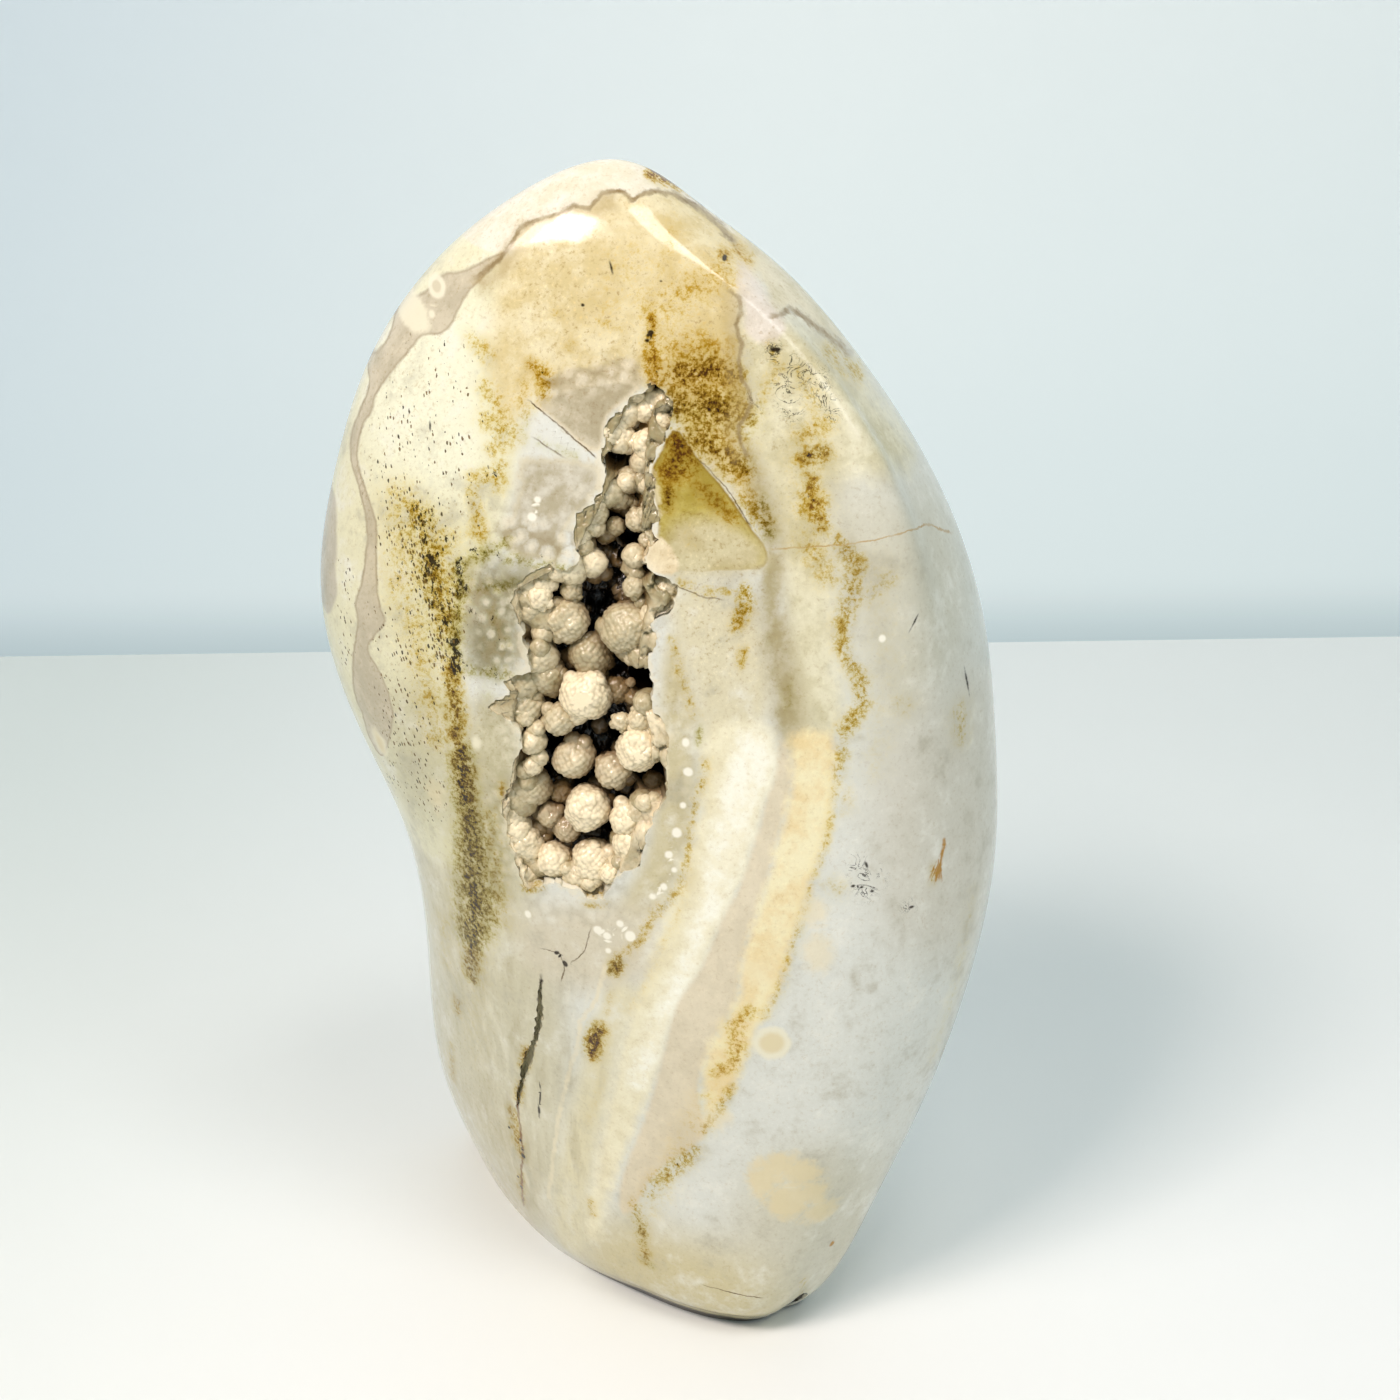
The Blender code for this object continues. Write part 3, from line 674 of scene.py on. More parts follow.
# Bands and plates with an edge of their own, from the lowest up. Each has its outline, two colours
# that cloud into each other, the softness and the raggedness of its edge in mm, and how strongly it
# covers. If it has a rim, the rim's colour and width follow.
BANDS = {
    "tan_top": (((-16.5, 131), (-15, 133.6), (-10, 136), (-6.5, 137), (-3, 138), (2, 138), (7, 135),
                 (10.5, 132.5), (12.5, 129.5), (10.5, 128), (9, 127.5), (9.2, 126), (8.6, 125),
                 (9.3, 123), (9, 121.5), (9.3, 119.5), (10, 118.5), (10.3, 117), (9.8, 115.8), (9, 115),
                 (9.1, 113.5), (9.8, 112), (11.5, 107), (9, 108), (5, 111.5), (3, 114), (1.5, 117.5),
                 (0, 118.5), (-3, 119.5), (-8, 119), (-12, 117.6), (-14, 115.5), (-16.5, 114), (-18, 118),
                 (-18.3, 122), (-17.8, 127)),
                (230, 219, 182), (212, 194, 142), 1.6, 1.6, 0.95),
    "cream_right": (((9.5, 127), (16, 125), (24.5, 116), (30.5, 107.5), (24.5, 110), (20, 110),
                     (18.5, 106), (19, 103), (19.5, 92), (21, 86), (20, 83), (18, 82), (16.5, 83),
                     (14.5, 97), (13.5, 99.5), (12.5, 107.5), (9, 113.5), (10.5, 117), (9, 119),
                     (9.5, 122), (8.5, 125), (9.5, 126)),
                    (228, 222, 192), (202, 193, 154), 1.8, 2.0, 0.9),
    # The stone's own lilac tone, made paler as a painted highlight where the glint starts down the ridge.
    "lilac_glint_wedge": (((8.8, 131), (11.5, 128.2), (14.5, 124.8), (13.0, 123.0), (10.5, 123.4), (9.3, 124.8),
                     (9.8, 126.4), (8.8, 127.6)),
                    (228, 219, 210), (214, 204, 190), 0.5, 0.6, 0.85),
    "crest": (((8.6, 131.8), (6.4, 133.7), (5.2, 134.7), (3.7, 135.7), (2.1, 136.7), (0.2, 137.4),
               (-1.2, 137.4), (-2.6, 136.8), (-3.3, 137.5), (-4.8, 137.6), (-5.9, 137.3), (-7.1, 136.0),
               (-9.0, 136.2), (-10.4, 135.4), (-12.6, 134.7), (-14.8, 133.7), (-16.6, 131.2), (-19, 131),
               (-40, 136), (-40, 160), (40, 160), (40, 132), (16, 134), (11, 132)),
              (234, 228, 212), (222, 215, 190), 0.15, 0.3, 0.95),
    "crest_right": (((13, 125.7), (14.7, 125.6), (16.3, 124.4), (18, 122.9), (19.8, 121.4), (22, 119.6),
                     (30, 114), (30, 140), (12, 134), (10, 131.2), (11.4, 128.4)),
                    (222, 213, 184), (204, 193, 156), 0.5, 0.8, 0.9),
    "nodule_bed": (((-13, 118.5), (-10, 120), (-5.5, 120.6), (-2.6, 121.6), (-1.2, 120.2), (-2.0, 118),
                    (-6, 117), (-10.5, 117)),
                   (216, 204, 176), (190, 176, 144), 0.5, 1.2, 0.9),
    "brown_plume": (((9.6, 113.5), (11.2, 111.5), (13.0, 107), (14.0, 102.5), (13.5, 97), (15.2, 90),
                     (16.4, 85), (15.5, 80), (13.6, 81), (12.8, 86), (11.7, 91), (11.2, 97), (11.8, 103),
                     (10.2, 108)),
                    (166, 152, 108), (180, 168, 132), 1.6, 2.0, 0.9),
    "plate_two": (((-13.5, 116.3), (-12, 117.5), (-8, 118.6), (-3.4, 119.4), (-1.6, 118.8), (-2.0, 117.8),
                   (-3.4, 117), (-5.5, 115.2), (-5.6, 112.5), (-6.5, 111.6), (-8, 112.2), (-10, 113.9)),
                  (204, 194, 168), (174, 162, 132), 0.4, 0.6, 0.95, (222, 210, 180), 0.5),
    "plate_one": (((-15.2, 110.5), (-13, 111), (-9, 111), (-6.3, 110.5), (-5.6, 108.5), (-7.5, 105.8),
                   (-9.2, 104.8), (-10, 102.5), (-10, 100), (-15, 100), (-17, 101.5), (-17, 104),
                   (-15.7, 105), (-15.3, 107)),
                  (212, 207, 190), (178, 168, 140), 0.6, 1.4, 0.95, (214, 205, 176), 0.8),
    "plate_three": (((-21, 98), (-18.5, 99.5), (-12, 99), (-14.5, 93), (-14.5, 90), (-15.5, 87.5),
                     (-20, 86.5), (-21.3, 88), (-21.5, 92)),
                    (178, 173, 148), (134, 127, 92), 1.8, 3.4, 0.95),
    "plate_four": (((-21, 83.5), (-19, 84), (-17, 83), (-15.5, 81), (-15, 78.5), (-17, 73), (-19, 73),
                    (-20.5, 76.5)),
                   (210, 204, 174), (184, 176, 140), 1.6, 2.4, 0.9),
    "plate_right": (((1.3, 113.6), (1.8, 114.4), (2.8, 114.1), (3.4, 113), (5, 111), (7.5, 108.5),
                     (10, 105), (12, 102.6), (12.2, 101.8), (12, 100.8), (11.3, 100.3), (7, 100),
                     (3.5, 99.8), (2.5, 100), (0, 100), (-1, 101), (0.2, 103), (0.3, 105.5), (0, 107),
                     (-0.6, 109.5), (-0.3, 110.8), (0.3, 111.5)),
                    (192, 176, 98), (166, 147, 62), 0.14, 0.25, 1.0, (148, 124, 54), 0.35),
    "plate_foot": (((0.5, 101.5), (1.5, 104.6), (4, 105.2), (7.5, 105.4), (10, 103.8), (12, 102.4),
                    (11.8, 101), (10, 99.6), (4, 98.8), (1.0, 99)),
                   (210, 201, 166), (196, 184, 144), 1.4, 1.2, 0.9),
    "white_chunk": (((-0.8, 102.6), (0.2, 103.6), (1.8, 102.4), (2.6, 100.4), (2.0, 99.0), (-0.5, 99.6),
                     (-1.4, 100.6)),
                    (240, 226, 194), (224, 206, 168), 0.25, 0.5, 0.95),
    "lilac_left": (((-16.2, 131.3), (-17.5, 130), (-19, 128.5), (-20.5, 127), (-21.5, 125.5),
                    (-22.8, 123), (-24, 122.3), (-26, 122), (-27.2, 120.5), (-29, 118.5), (-30.5, 116.5),
                    (-31.8, 115), (-32, 113), (-33.5, 111.5), (-34.2, 108), (-33.5, 106), (-32, 103),
                    (-31.5, 101), (-31.8, 98.5), (-31.8, 95), (-31.5, 92), (-30.5, 91), (-33, 88),
                    (-33.5, 86.5), (-31.5, 84), (-30.5, 80), (-31, 77), (-33, 71), (-35, 74), (-35, 77),
                    (-36, 78.5), (-36, 83), (-34.5, 90), (-35, 92), (-33.6, 95), (-33.2, 98.5),
                    (-32.9, 100.5), (-33.7, 104.5), (-34.6, 106), (-35.3, 108), (-35.1, 110.5),
                    (-34, 112.5), (-33, 114.5), (-32.6, 116), (-33.6, 117.5), (-31.3, 119.5),
                    (-30.2, 121), (-29.9, 122.5), (-29.2, 124.6), (-27, 125.6), (-25.8, 126),
                    (-24, 128.3), (-22, 128.7), (-20, 129.5), (-18.3, 130.6)),
                   (206, 196, 172), (188, 178, 154), 0.15, 0.35, 0.95, (166, 152, 126), 0.3),
    "lilac_edge": (((-38, 103.5), (-37, 102), (-37, 97), (-37.5, 94), (-37, 92), (-39.5, 87), (-42, 94),
                    (-42, 103)),
                   (196, 188, 170), (182, 174, 156), 0.25, 0.4, 0.9),
    "bright_band": (((6.5, 83.5), (5, 82), (5, 75), (4.5, 72), (3.5, 69), (2, 64), (-1.5, 51.5),
                     (-3.5, 48), (-9, 17), (-10, 8), (-8, 9), (-7, 16.5), (-0.5, 37.5), (0.5, 42),
                     (1.5, 47), (3, 51), (5, 54), (6, 57), (7.5, 61), (8.5, 63), (10, 66.5), (10.5, 69),
                     (11.5, 72), (12, 75), (13, 77), (13.4, 79), (13, 82.5), (11, 84)),
                    (240, 233, 202), (228, 218, 182), 1.1, 1.3, 0.95),
    "bright_core": (((11.2, 83), (12.6, 82), (13, 79), (12, 76.5), (11.2, 73), (10, 69), (8, 64),
                     (5.4, 56), (0.4, 43), (-1.5, 36), (-4.5, 36), (-1, 46), (3, 56), (5, 66), (6.6, 73),
                     (8, 80), (9.5, 83)),
                    (250, 249, 234), (244, 238, 212), 1.2, 1.2, 0.9),
    "lilac_band": (((13.6, 83), (15, 80), (14.8, 76), (13.5, 71), (12.5, 66), (11, 61), (10, 58),
                    (9.3, 54), (9, 50), (7.5, 47), (5, 41.5), (4.5, 37.5), (5, 33.5), (6, 32), (4, 28.5),
                    (1, 26), (-1.5, 22), (-2.5, 18.5), (-4.5, 15), (-5.5, 17), (-4.5, 23), (-2, 30.5),
                    (0.5, 42), (1.5, 47), (3, 51), (5, 54), (6, 57), (7.5, 61), (8.5, 63), (10, 66.5),
                    (10.5, 69), (11.5, 72), (12, 75), (13, 77), (13.4, 79)),
                   (226, 214, 186), (216, 204, 176), 0.45, 0.5, 0.95),
    "yellow_band": (((14.2, 83), (19.4, 83), (20, 80), (19.6, 74), (18.5, 69), (17.5, 66), (16, 61),
                     (14.8, 56), (13.5, 51), (12, 48.5), (8.5, 37.5), (6, 34), (5, 36), (5.5, 44),
                     (7.6, 47), (9, 50.5), (9.4, 54), (10, 58), (11, 61), (12.5, 66), (13.5, 71),
                     (14.8, 76), (15, 80)),
                    (244, 234, 192), (236, 214, 160), 0.9, 1.3, 0.92),
}

# Spots of one colour each: x, height, half width, half height and turn in degrees, then the spots'
# colour, the softness and raggedness of their edges in mm, and how strongly they cover.
SPOTS = {
    "cream_eyes": (((13.1, 45.0, 2.2, 2.2, 0), (-33.0, 74.3, 0.9, 1.8, 15),
                    (-27.4, 124.0, 2.5, 1.7, -30), (-20.6, 78.6, 0.5, 0.7, 0)),
                   (236, 230, 204), 0.35, 0.4, 0.85),
    "small_eyes": (((-24.4, 126.9, 1.1, 1.1, 0), (-24.9, 124.2, 0.4, 0.4, 0)), (236, 230, 206), 0.2, 0.08,
                   0.85),
    "small_hearts": (((-24.4, 126.9, 0.55, 0.55, 0),), (206, 196, 168), 0.15, 0.08, 0.8),
    "eye_hearts": (((13.1, 45.0, 1.4, 1.4, 0), (-33.0, 74.3, 0.45, 1.2, 15)), (222, 206, 160), 0.4, 0.3,
                   0.75),
    "pale_blobs": (((11.6, 54.2, 1.7, 1.6, 0), (6.6, 33.5, 1.7, 1.7, 0), (-25.9, 70.0, 1.0, 1.7, 0),
                    (18.2, 57.0, 1.8, 2.4, 0), (17.6, 62.0, 1.6, 1.6, 0)),
                   (236, 220, 178), 1.0, 1.2, 0.5),
    "amber": (((32.3, 66.4, 0.2, 1.5, -8), (31.9, 64.7, 0.26, 1.0, -14), (32.6, 68.0, 0.16, 0.5, 10),
               (31.4, 65.4, 0.12, 0.8, -22), (32.3, 64.3, 0.14, 0.7, 8), (21.1, 13.0, 0.3, 0.4, 0)),
              (172, 122, 14), 0.12, 0.35, 0.95),
    "tan_patches": (((12.4, 25.5, 1.8, 2.6, 0), (14.6, 28.0, 2.4, 1.6, 0), (17.0, 26.6, 2.2, 2.0, 0),
                     (15.4, 22.0, 2.6, 2.6, 20), (19.4, 20.0, 2.2, 1.6, 20), (18.4, 23.4, 1.8, 1.6, 0)),
                    (226, 210, 166), 0.9, 1.6, 0.8),
    "pearls": (((3.5, 77.9, 0.55, 0.5, 0), (2.2, 70.7, 0.55, 0.6, 0), (1.3, 68.0, 0.45, 0.45, 0),
                (0.7, 64.0, 0.4, 0.45, 0), (-7.0, 57.3, 0.5, 0.5, 0), (-5.9, 56.7, 0.5, 0.5, 0),
                (-5.8, 54.8, 0.35, 0.35, 0), (24.7, 93.0, 0.4, 0.4, 0), (2.9, 74.0, 0.35, 0.35, 0),
                (-13.0, 106.4, 0.35, 0.35, 0), (-13.6, 104.6, 0.5, 0.45, 0), (-4.4, 58.6, 0.4, 0.4, 0),
                (-3.2, 57.2, 0.6, 0.7, 0), (-15.3, 57.3, 0.4, 0.5, 0), (3.2, 81.2, 0.4, 0.5, 0),
                (1.9, 66.2, 0.3, 0.3, 0), (-0.6, 62.6, 0.4, 0.35, 0)),
               (250, 246, 230), 0.16, 0.15, 0.9),
    "dark_pits": (((-4.8, 130.4, 0.13, 0.6, 15), (-7.9, 126.5, 0.2, 0.18, 0), (0.6, 129.1, 0.2, 0.14, 0),
                   (7.5, 130.9, 0.26, 0.22, 0), (13.0, 122.5, 0.6, 0.2, 5), (-0.5, 124.0, 0.34, 0.28, 0),
                   (-0.9, 123.2, 0.28, 0.2, 0), (23.5, 67.3, 0.16, 0.4, 20), (22.0, 64.9, 0.22, 0.16, 0),
                   (23.0, 64.7, 0.26, 0.18, 0), (24.2, 64.1, 0.22, 0.16, 0), (28.9, 61.3, 0.3, 0.16, 0),
                   (35.0, 85.2, 0.09, 1.3, 12), (28.3, 94.5, 0.06, 0.6, -30), (-15.2, 26.9, 0.14, 0.9, 0),
                   (-14.9, 31.4, 0.1, 0.6, 6), (-19.5, 21.0, 0.16, 0.2, 0), (-18.0, 20.0, 0.16, 0.2, 0),
                   (-17.8, 18.5, 0.18, 0.2, 0), (-17.7, 17.3, 0.3, 0.34, 0), (-18.8, 12.0, 0.16, 0.2, 0),
                   (-18.5, 10.0, 0.2, 0.24, 0), (-12.0, 53.0, 0.34, 0.24, 30),
                   (-11.0, 51.8, 0.26, 0.4, 20), (1.9, 111.3, 0.16, 0.16, 0),
                   # The last of these pits, at the chip in the foot, is painted shade in the chip's hollow.
                   (-25.1, 113.0, 0.14, 0.5, 0), (17.2, 3.0, 0.9, 1.5, -30)),
                  (34, 20, 4), 0.09, 0.2, 0.95),
}

# Lines, each family as paths with its colour, its width in mm and how strongly it shows.
SEAM = ((8.5, 131.6), (6.4, 133.6), (5.2, 134.6), (3.7, 135.6), (2.1, 136.6), (0.2, 137.3), (-1.2, 137.3),
        (-2.6, 136.7), (-3.3, 137.4), (-4.8, 137.5), (-5.9, 137.2), (-7.1, 135.9), (-9.0, 136.1),
        (-10.4, 135.3), (-12.6, 134.6), (-14.8, 133.6), (-15.7, 132.3), (-17, 130.5), (-19.4, 128.6))
SCALLOP = ((8.2, 128), (9, 127.5), (9.2, 126), (8.6, 125), (9.3, 123), (9, 121.5), (9.3, 119.5),
           (10, 118.5), (10.3, 117), (9.8, 115.8), (9, 115), (9.1, 113.5), (9.8, 112))
LINES = {
    "seam_shade": ((tuple((x, height - 0.9) for x, height in SEAM[9:]),
                    tuple((x - 0.8, height) for x, height in SCALLOP)), (168, 144, 88), 2.0, 0.5),
    "seams": ((SEAM, SCALLOP, ((12.8, 125.6), (14.7, 125.4), (16.3, 124.2), (18, 122.7), (19.8, 121.2),
                               (21.6, 119.5))),
              (142, 122, 84), 0.42, 0.8),
    "hair_cracks": ((((-13.5, 116.3), (-10.5, 114.2), (-8.5, 112.6), (-6.8, 111.4)),
                     ((-13, 112.6), (-10.5, 111.2)), ((1.5, 98.5), (5, 97.2), (7, 97)),
                     ((-13.5, 53), (-11.5, 53), (-11, 51), (-11.4, 49.6)),
                     ((-10, 52.5), (-8.6, 54), (-7.9, 57)), ((5.5, 8), (9, 7.7), (12, 7.3)),
                     ((5, 111.2), (7.5, 108.8), (10, 105.2))),
                    (96, 74, 34), 0.16, 0.8),
    "orange_crack": ((((13, 102.5), (20, 103), (27.5, 104), (30, 103), (33, 100.5)),), (176, 140, 70),
                     0.16, 0.7),
    "pale_thread": ((((-6.2, 52.5), (-7.4, 47.5), (-9.4, 44.0), (-9.8, 40.0), (-11.0, 35.5), (-12.4, 29),
                      (-13.4, 22), (-14.6, 12)),), (232, 222, 192), 0.5, 0.6),
    "crack_line": ((((-14.0, 48.5), (-14.3, 45.4), (-14.4, 42.6), (-15.0, 39.5), (-15.9, 36.2),
                     (-16.8, 33.0), (-17.3, 30.4), (-17.8, 28.0), (-18.1, 25.6)),), (44, 24, 6), 0.42,
                     0.95),
    "crack_brown": ((((-18.1, 26.0), (-17.9, 22.0), (-17.7, 18.0), (-18.3, 13.0), (-18.5, 9.0),
                      (-18.6, 5.0)),),
                    (124, 84, 40), 0.3, 0.85),
}

# Stains that soak the stone, and where fine marks crowd. Each is its strength and the path that it
# follows, as x, height and half width.
STAINS = {
    "golden": (
        (0.7, (-20.5, 122.5, 1.0), (-18.5, 121.0, 1.6)), (0.75, (-18.6, 117.4, 1.6), (-17.0, 115.6, 2.0)),
        (0.85, (-18.8, 114.2, 1.4), (-16.0, 113.2, 1.8), (-17.8, 111.4, 1.3)),
        (0.95, (-20.3, 108.2, 0.8), (-17.8, 108.2, 1.6), (-17.0, 109.8, 0.9)),
        (1.1, (-20.4, 106.8, 0.8), (-19.8, 104.4, 0.8), (-19.6, 102.4, 1.2)),
        (1.1, (-13.6, 120.2, 1.0), (-12.3, 119.2, 1.5), (-12.2, 117.2, 1.0)),
        (0.7, (-14.6, 118.0, 1.4), (-14.4, 115, 1)), (0.7, (-9.4, 122.3, 1.0), (-8.8, 122.3, 0.8)),
        (0.6, (-10.9, 125.6, 0.9), (-10.1, 125.4, 0.8)), (0.6, (-6.2, 125.0, 1.0), (-3.6, 124.4, 1.0)),
        (0.5, (-5.6, 131.4, 1.2), (-2.0, 130.0, 1.6)), (1.4, (-0.2, 125.3, 0.9), (-0.6, 122.8, 0.9),
                                                        (-0.2, 120.6, 1.5), (0.2, 119.0, 1.1)),
        (0.8, (1.4, 122.6, 3.4), (7.0, 122.4, 2.8)), (0.7, (0.4, 127.0, 4.2), (7.2, 129.6, 2.8)),
        (0.45, (-6.0, 126.0, 4.0), (-2.0, 131.0, 4.0)),
        (0.5, (0.6, 130.4, 1.8), (2.0, 134.0, 1.8)), (1.3, (7.2, 131.2, 0.6), (7.8, 130.8, 0.6)),
        (0.9, (8.7, 131.2, 0.6), (10.4, 129.9, 0.6)), (2.2, (-1.0, 138.7, 0.3), (0.5, 138.3, 0.45),
                                                       (2.6, 137.2, 0.4), (4.4, 136.2, 0.3)),
        (0.7, (18.8, 121.1, 0.9), (20.8, 119.2, 1.0), (22.7, 117.6, 0.8)),
        (1.5, (2.6, 119.8, 2.2), (6.0, 120.2, 2.4), (8.2, 119.8, 1.7)),
        (1.15, (2.8, 117.4, 3.0), (6.0, 117.0, 4.0), (8.8, 116.2, 2.4)),
        (1.15, (4.8, 113.6, 2.2), (7.6, 112.6, 2.8), (9.2, 110.2, 1.9)),
        (1.0, (9.8, 107.6, 1.4), (11.6, 105.4, 1.5)), (1.7, (2.1, 113.2, 1.2), (3.0, 111.2, 2.0),
                                                       (1.4, 110.0, 1.5)),
                                                       (1.0, (5.2, 108.4, 1.6), (8.6, 105.4, 1.0)),
        (1.1, (1.5, 108.0, 0.9), (1.3, 106.2, 0.8)), (0.5, (3.2, 103.6, 0.9), (4.2, 102.6, 0.8)),
        (0.9, (8.9, 105.3, 0.5), (9.4, 104.9, 0.5)),
        (1.3, (16.0, 111.8, 1.2), (18.2, 112.2, 1.2)), (0.8, (15.6, 114.0, 1.6), (18.6, 115.4, 1.4)),
        (1.4, (16.8, 109.6, 1.1), (17.0, 107.0, 1.8), (17.8, 105.2, 1.3)),
        (0.7, (16.6, 103.0, 2.4), (18.6, 100.0, 2.0)), (0.5, (15.6, 112.0, 3.0), (17.4, 104.0, 3.4)),
        (0.6, (12.4, 123.0, 0.9), (13.4, 120.6, 1.4), (11.0, 117.4, 1.2)),
        (0.6, (15.6, 120.0, 1.6), (17.2, 117.2, 1.6)), (1.4, (9.5, 98.2, 0.9), (9.8, 96.4, 1.1),
                                                        (8.8, 94.2, 0.8)),
                                                        (0.9, (9.5, 91.6, 0.7), (9.2, 90.0, 0.7)),
        (0.7, (2.6, 98.6, 0.7), (5.0, 97.6, 1.0), (8.0, 98.0, 1.0)),
        (1.0, (19.8, 103.6, 1.0), (21.8, 101.0, 1.4), (21.2, 97.6, 1.3), (20.2, 94.4, 1.3),
         (20.4, 92.0, 1.1)),
        (1.0, (20.8, 91.0, 0.9), (22.3, 88.6, 1.3), (22.6, 86.0, 1.2), (20.9, 83.0, 1.4)),
        (0.75, (20.5, 81.0, 1.2), (20.1, 78.0, 1.2)), (0.55, (22.6, 97.6, 1.6), (25.5, 99.4, 1.6)),
        (0.8, (1.8, 92.6, 0.6), (2.6, 89.0, 0.7), (3.6, 86.0, 0.7), (4.3, 84.3, 0.8)),
        (0.8, (5.4, 79.4, 0.6), (5.2, 77.6, 0.7), (4.2, 74.0, 0.6), (3.6, 70.5, 0.7), (3.3, 67.0, 0.6),
         (2.4, 64.0, 0.7), (1.0, 62.0, 0.8), (-0.8, 60.0, 0.9), (-2.0, 57.0, 0.9), (-3.4, 55.0, 1.0)),
        (1.2, (-4.6, 53.8, 1.0), (-5.1, 52.2, 1.0)), (1.7, (-7.1, 43.5, 1.1), (-7.9, 41.4, 1.2),
                                                      (-8.1, 39.2, 0.9)),
        (0.35, (-6.6, 37.0, 0.8), (-9.0, 28.0, 0.8)), (0.45, (-5.4, 49.6, 0.8), (-6.2, 46.0, 0.8)),
        (0.9, (10.4, 49.2, 1.1), (8.9, 46.6, 1.6), (9.2, 44.0, 1.5), (8.5, 41.4, 1.3), (6.8, 40.4, 1.1)),
        (0.4, (6.0, 38.0, 2.4), (2.0, 27.0, 3.0), (-1.0, 18.0, 2.6)),
        (0.85, (8.4, 38.4, 0.9), (7.0, 35.0, 1.0), (5.4, 31.6, 1.0)),
        (0.9, (4.2, 28.6, 1.4), (2.4, 25.8, 1.6), (0.9, 24.0, 1.4), (-0.6, 22.0, 1.4), (-1.5, 20.0, 1.2)),
        (0.8, (-3.4, 18.0, 1.0), (-2.6, 15.4, 1.4), (-2.4, 12.0, 1.2), (-2.0, 9.0, 1.1)),
        (0.8, (-8.8, 15.6, 0.7), (-8.7, 13.4, 0.7)), (0.5, (17.5, 8.5, 0.9), (17.6, 4.0, 1.1)),
        (0.6, (20.0, 79.5, 0.9), (19.6, 74.0, 0.8), (18.6, 69.0, 0.9), (17.5, 66.0, 0.8),
         (16.2, 61.0, 0.9), (14.9, 56.0, 0.9), (13.5, 51.0, 1.0), (12.0, 48.4, 1.0)),
        (0.4, (3.8, 66.0, 0.9), (2.0, 60.0, 1.0), (-1.6, 51.0, 1.0), (-3.6, 47.0, 0.8)),
        (0.45, (26.8, 85.6, 2.0), (27.6, 85.2, 2.0)), (0.55, (34.0, 82.5, 1.8), (34.5, 79.4, 1.6)),
        (0.5, (19.6, 65.0, 1.8), (20.4, 64.6, 1.6)), (0.45, (21.0, 75.6, 1.7), (21.0, 74.4, 1.7)),
        (0.3, (24.0, 100.0, 4.0), (25.0, 90.0, 4.0), (24.0, 78.0, 3.0)),
        (0.35, (36.6, 60.0, 1.2), (35.2, 48.0, 1.6), (32.6, 38.0, 1.4)),
        (1.3, (-16.2, 36.6, 0.8), (-16.9, 33.4, 0.8)), (0.9, (-17.5, 30.0, 0.8), (-17.9, 27.0, 0.9)),
        (1.0, (-18.9, 24.6, 0.9), (-18.5, 20.6, 1.0), (-17.9, 17.0, 0.8)),
        (0.7, (-18.2, 13.6, 0.7), (-18.6, 9.4, 0.8), (-18.5, 5.4, 0.7)),
        (1.0, (-15.4, 60.8, 0.9), (-13.4, 61.4, 0.6)), (0.8, (-8.2, 60.5, 0.6), (-6.0, 60.8, 0.7)),
        (1.0, (-17.7, 73.6, 0.9), (-16.9, 71.2, 0.9)), (0.8, (-16.5, 70.0, 0.7), (-16.8, 66.4, 0.7)),
        (1.3, (-23.2, 88.0, 1.2), (-22.9, 81.0, 1.5), (-23.0, 78.0, 1.4), (-22.3, 75.0, 1.6),
         (-22.2, 71.0, 1.6)),
        (0.85, (-22.0, 70.0, 1.8), (-21.6, 64.0, 2.8), (-21.8, 60.0, 3.0), (-21.8, 56.0, 3.2),
         (-22.8, 51.0, 2.6)),
        (1.1, (-22.8, 48.4, 1.7), (-23.3, 44.0, 1.3)), (0.9, (-25.6, 37.6, 0.9), (-26.0, 35.0, 0.9)),
        (0.9, (-27.4, 104.0, 2.4), (-25.2, 100.4, 3.6), (-24.4, 96.0, 3.6), (-24.0, 91.0, 2.4)),
        (0.65, (-28.8, 105.0, 3.0), (-28.4, 96.0, 3.6), (-26.8, 88.0, 3.0), (-25.6, 78.0, 2.4)),
        (0.4, (-26.5, 50.0, 2.2), (-27.2, 42.0, 1.8)), (0.55, (-19.4, 70.0, 1.8), (-19.0, 56.0, 2.4)),
        (0.3, (-22.0, 50.0, 4.0), (-24.0, 30.0, 4.0)), (0.7, (-27.5, 27.0, 0.8), (-28.0, 20.0, 0.8)),
        (0.6, (-29.4, 16.0, 0.8), (-29.5, 13.5, 0.8)), (0.6, (31.2, 65.8, 0.6), (31.4, 63.6, 0.7)),
    ),
    "olive": (
        (1.0, (2.4, 119.8, 1.8), (5.6, 120.4, 2.2), (8.4, 120.0, 1.6)),
        (1.15, (3.0, 117.0, 2.4), (8.4, 116.2, 2.8)), (1.0, (4.6, 114.0, 2.0), (8.4, 111.4, 2.2)),
        (0.9, (1.4, 107.9, 0.8), (1.2, 106.2, 0.6)), (0.5, (1.9, 112.4, 0.8), (2.8, 110.6, 1.0)),
        (1.0, (-20.3, 99.6, 1.0), (-18.2, 100.8, 1.1), (-16.4, 101.8, 0.8)),
        (0.9, (-16.4, 100.0, 0.9), (-12.4, 99.5, 0.7), (-8.8, 99.2, 0.6)),
        (1.2, (-22.0, 98.8, 1.0), (-21.9, 96.0, 1.1), (-22.4, 93.0, 1.1), (-22.8, 90.6, 1.0),
         (-22.8, 86.4, 0.9)),
        (0.9, (-21.4, 87.2, 0.9), (-17.6, 87.2, 1.0), (-15.4, 86.8, 0.8)),
        (0.7, (-16.6, 90.0, 0.9), (-18.4, 94.0, 1.0)), (0.8, (-19.4, 96.4, 1.2), (-15.6, 97.2, 1.2)),
        (0.6, (-26.4, 102.4, 3.0), (-25.0, 98.0, 3.8), (-24.0, 90.0, 2.8)),
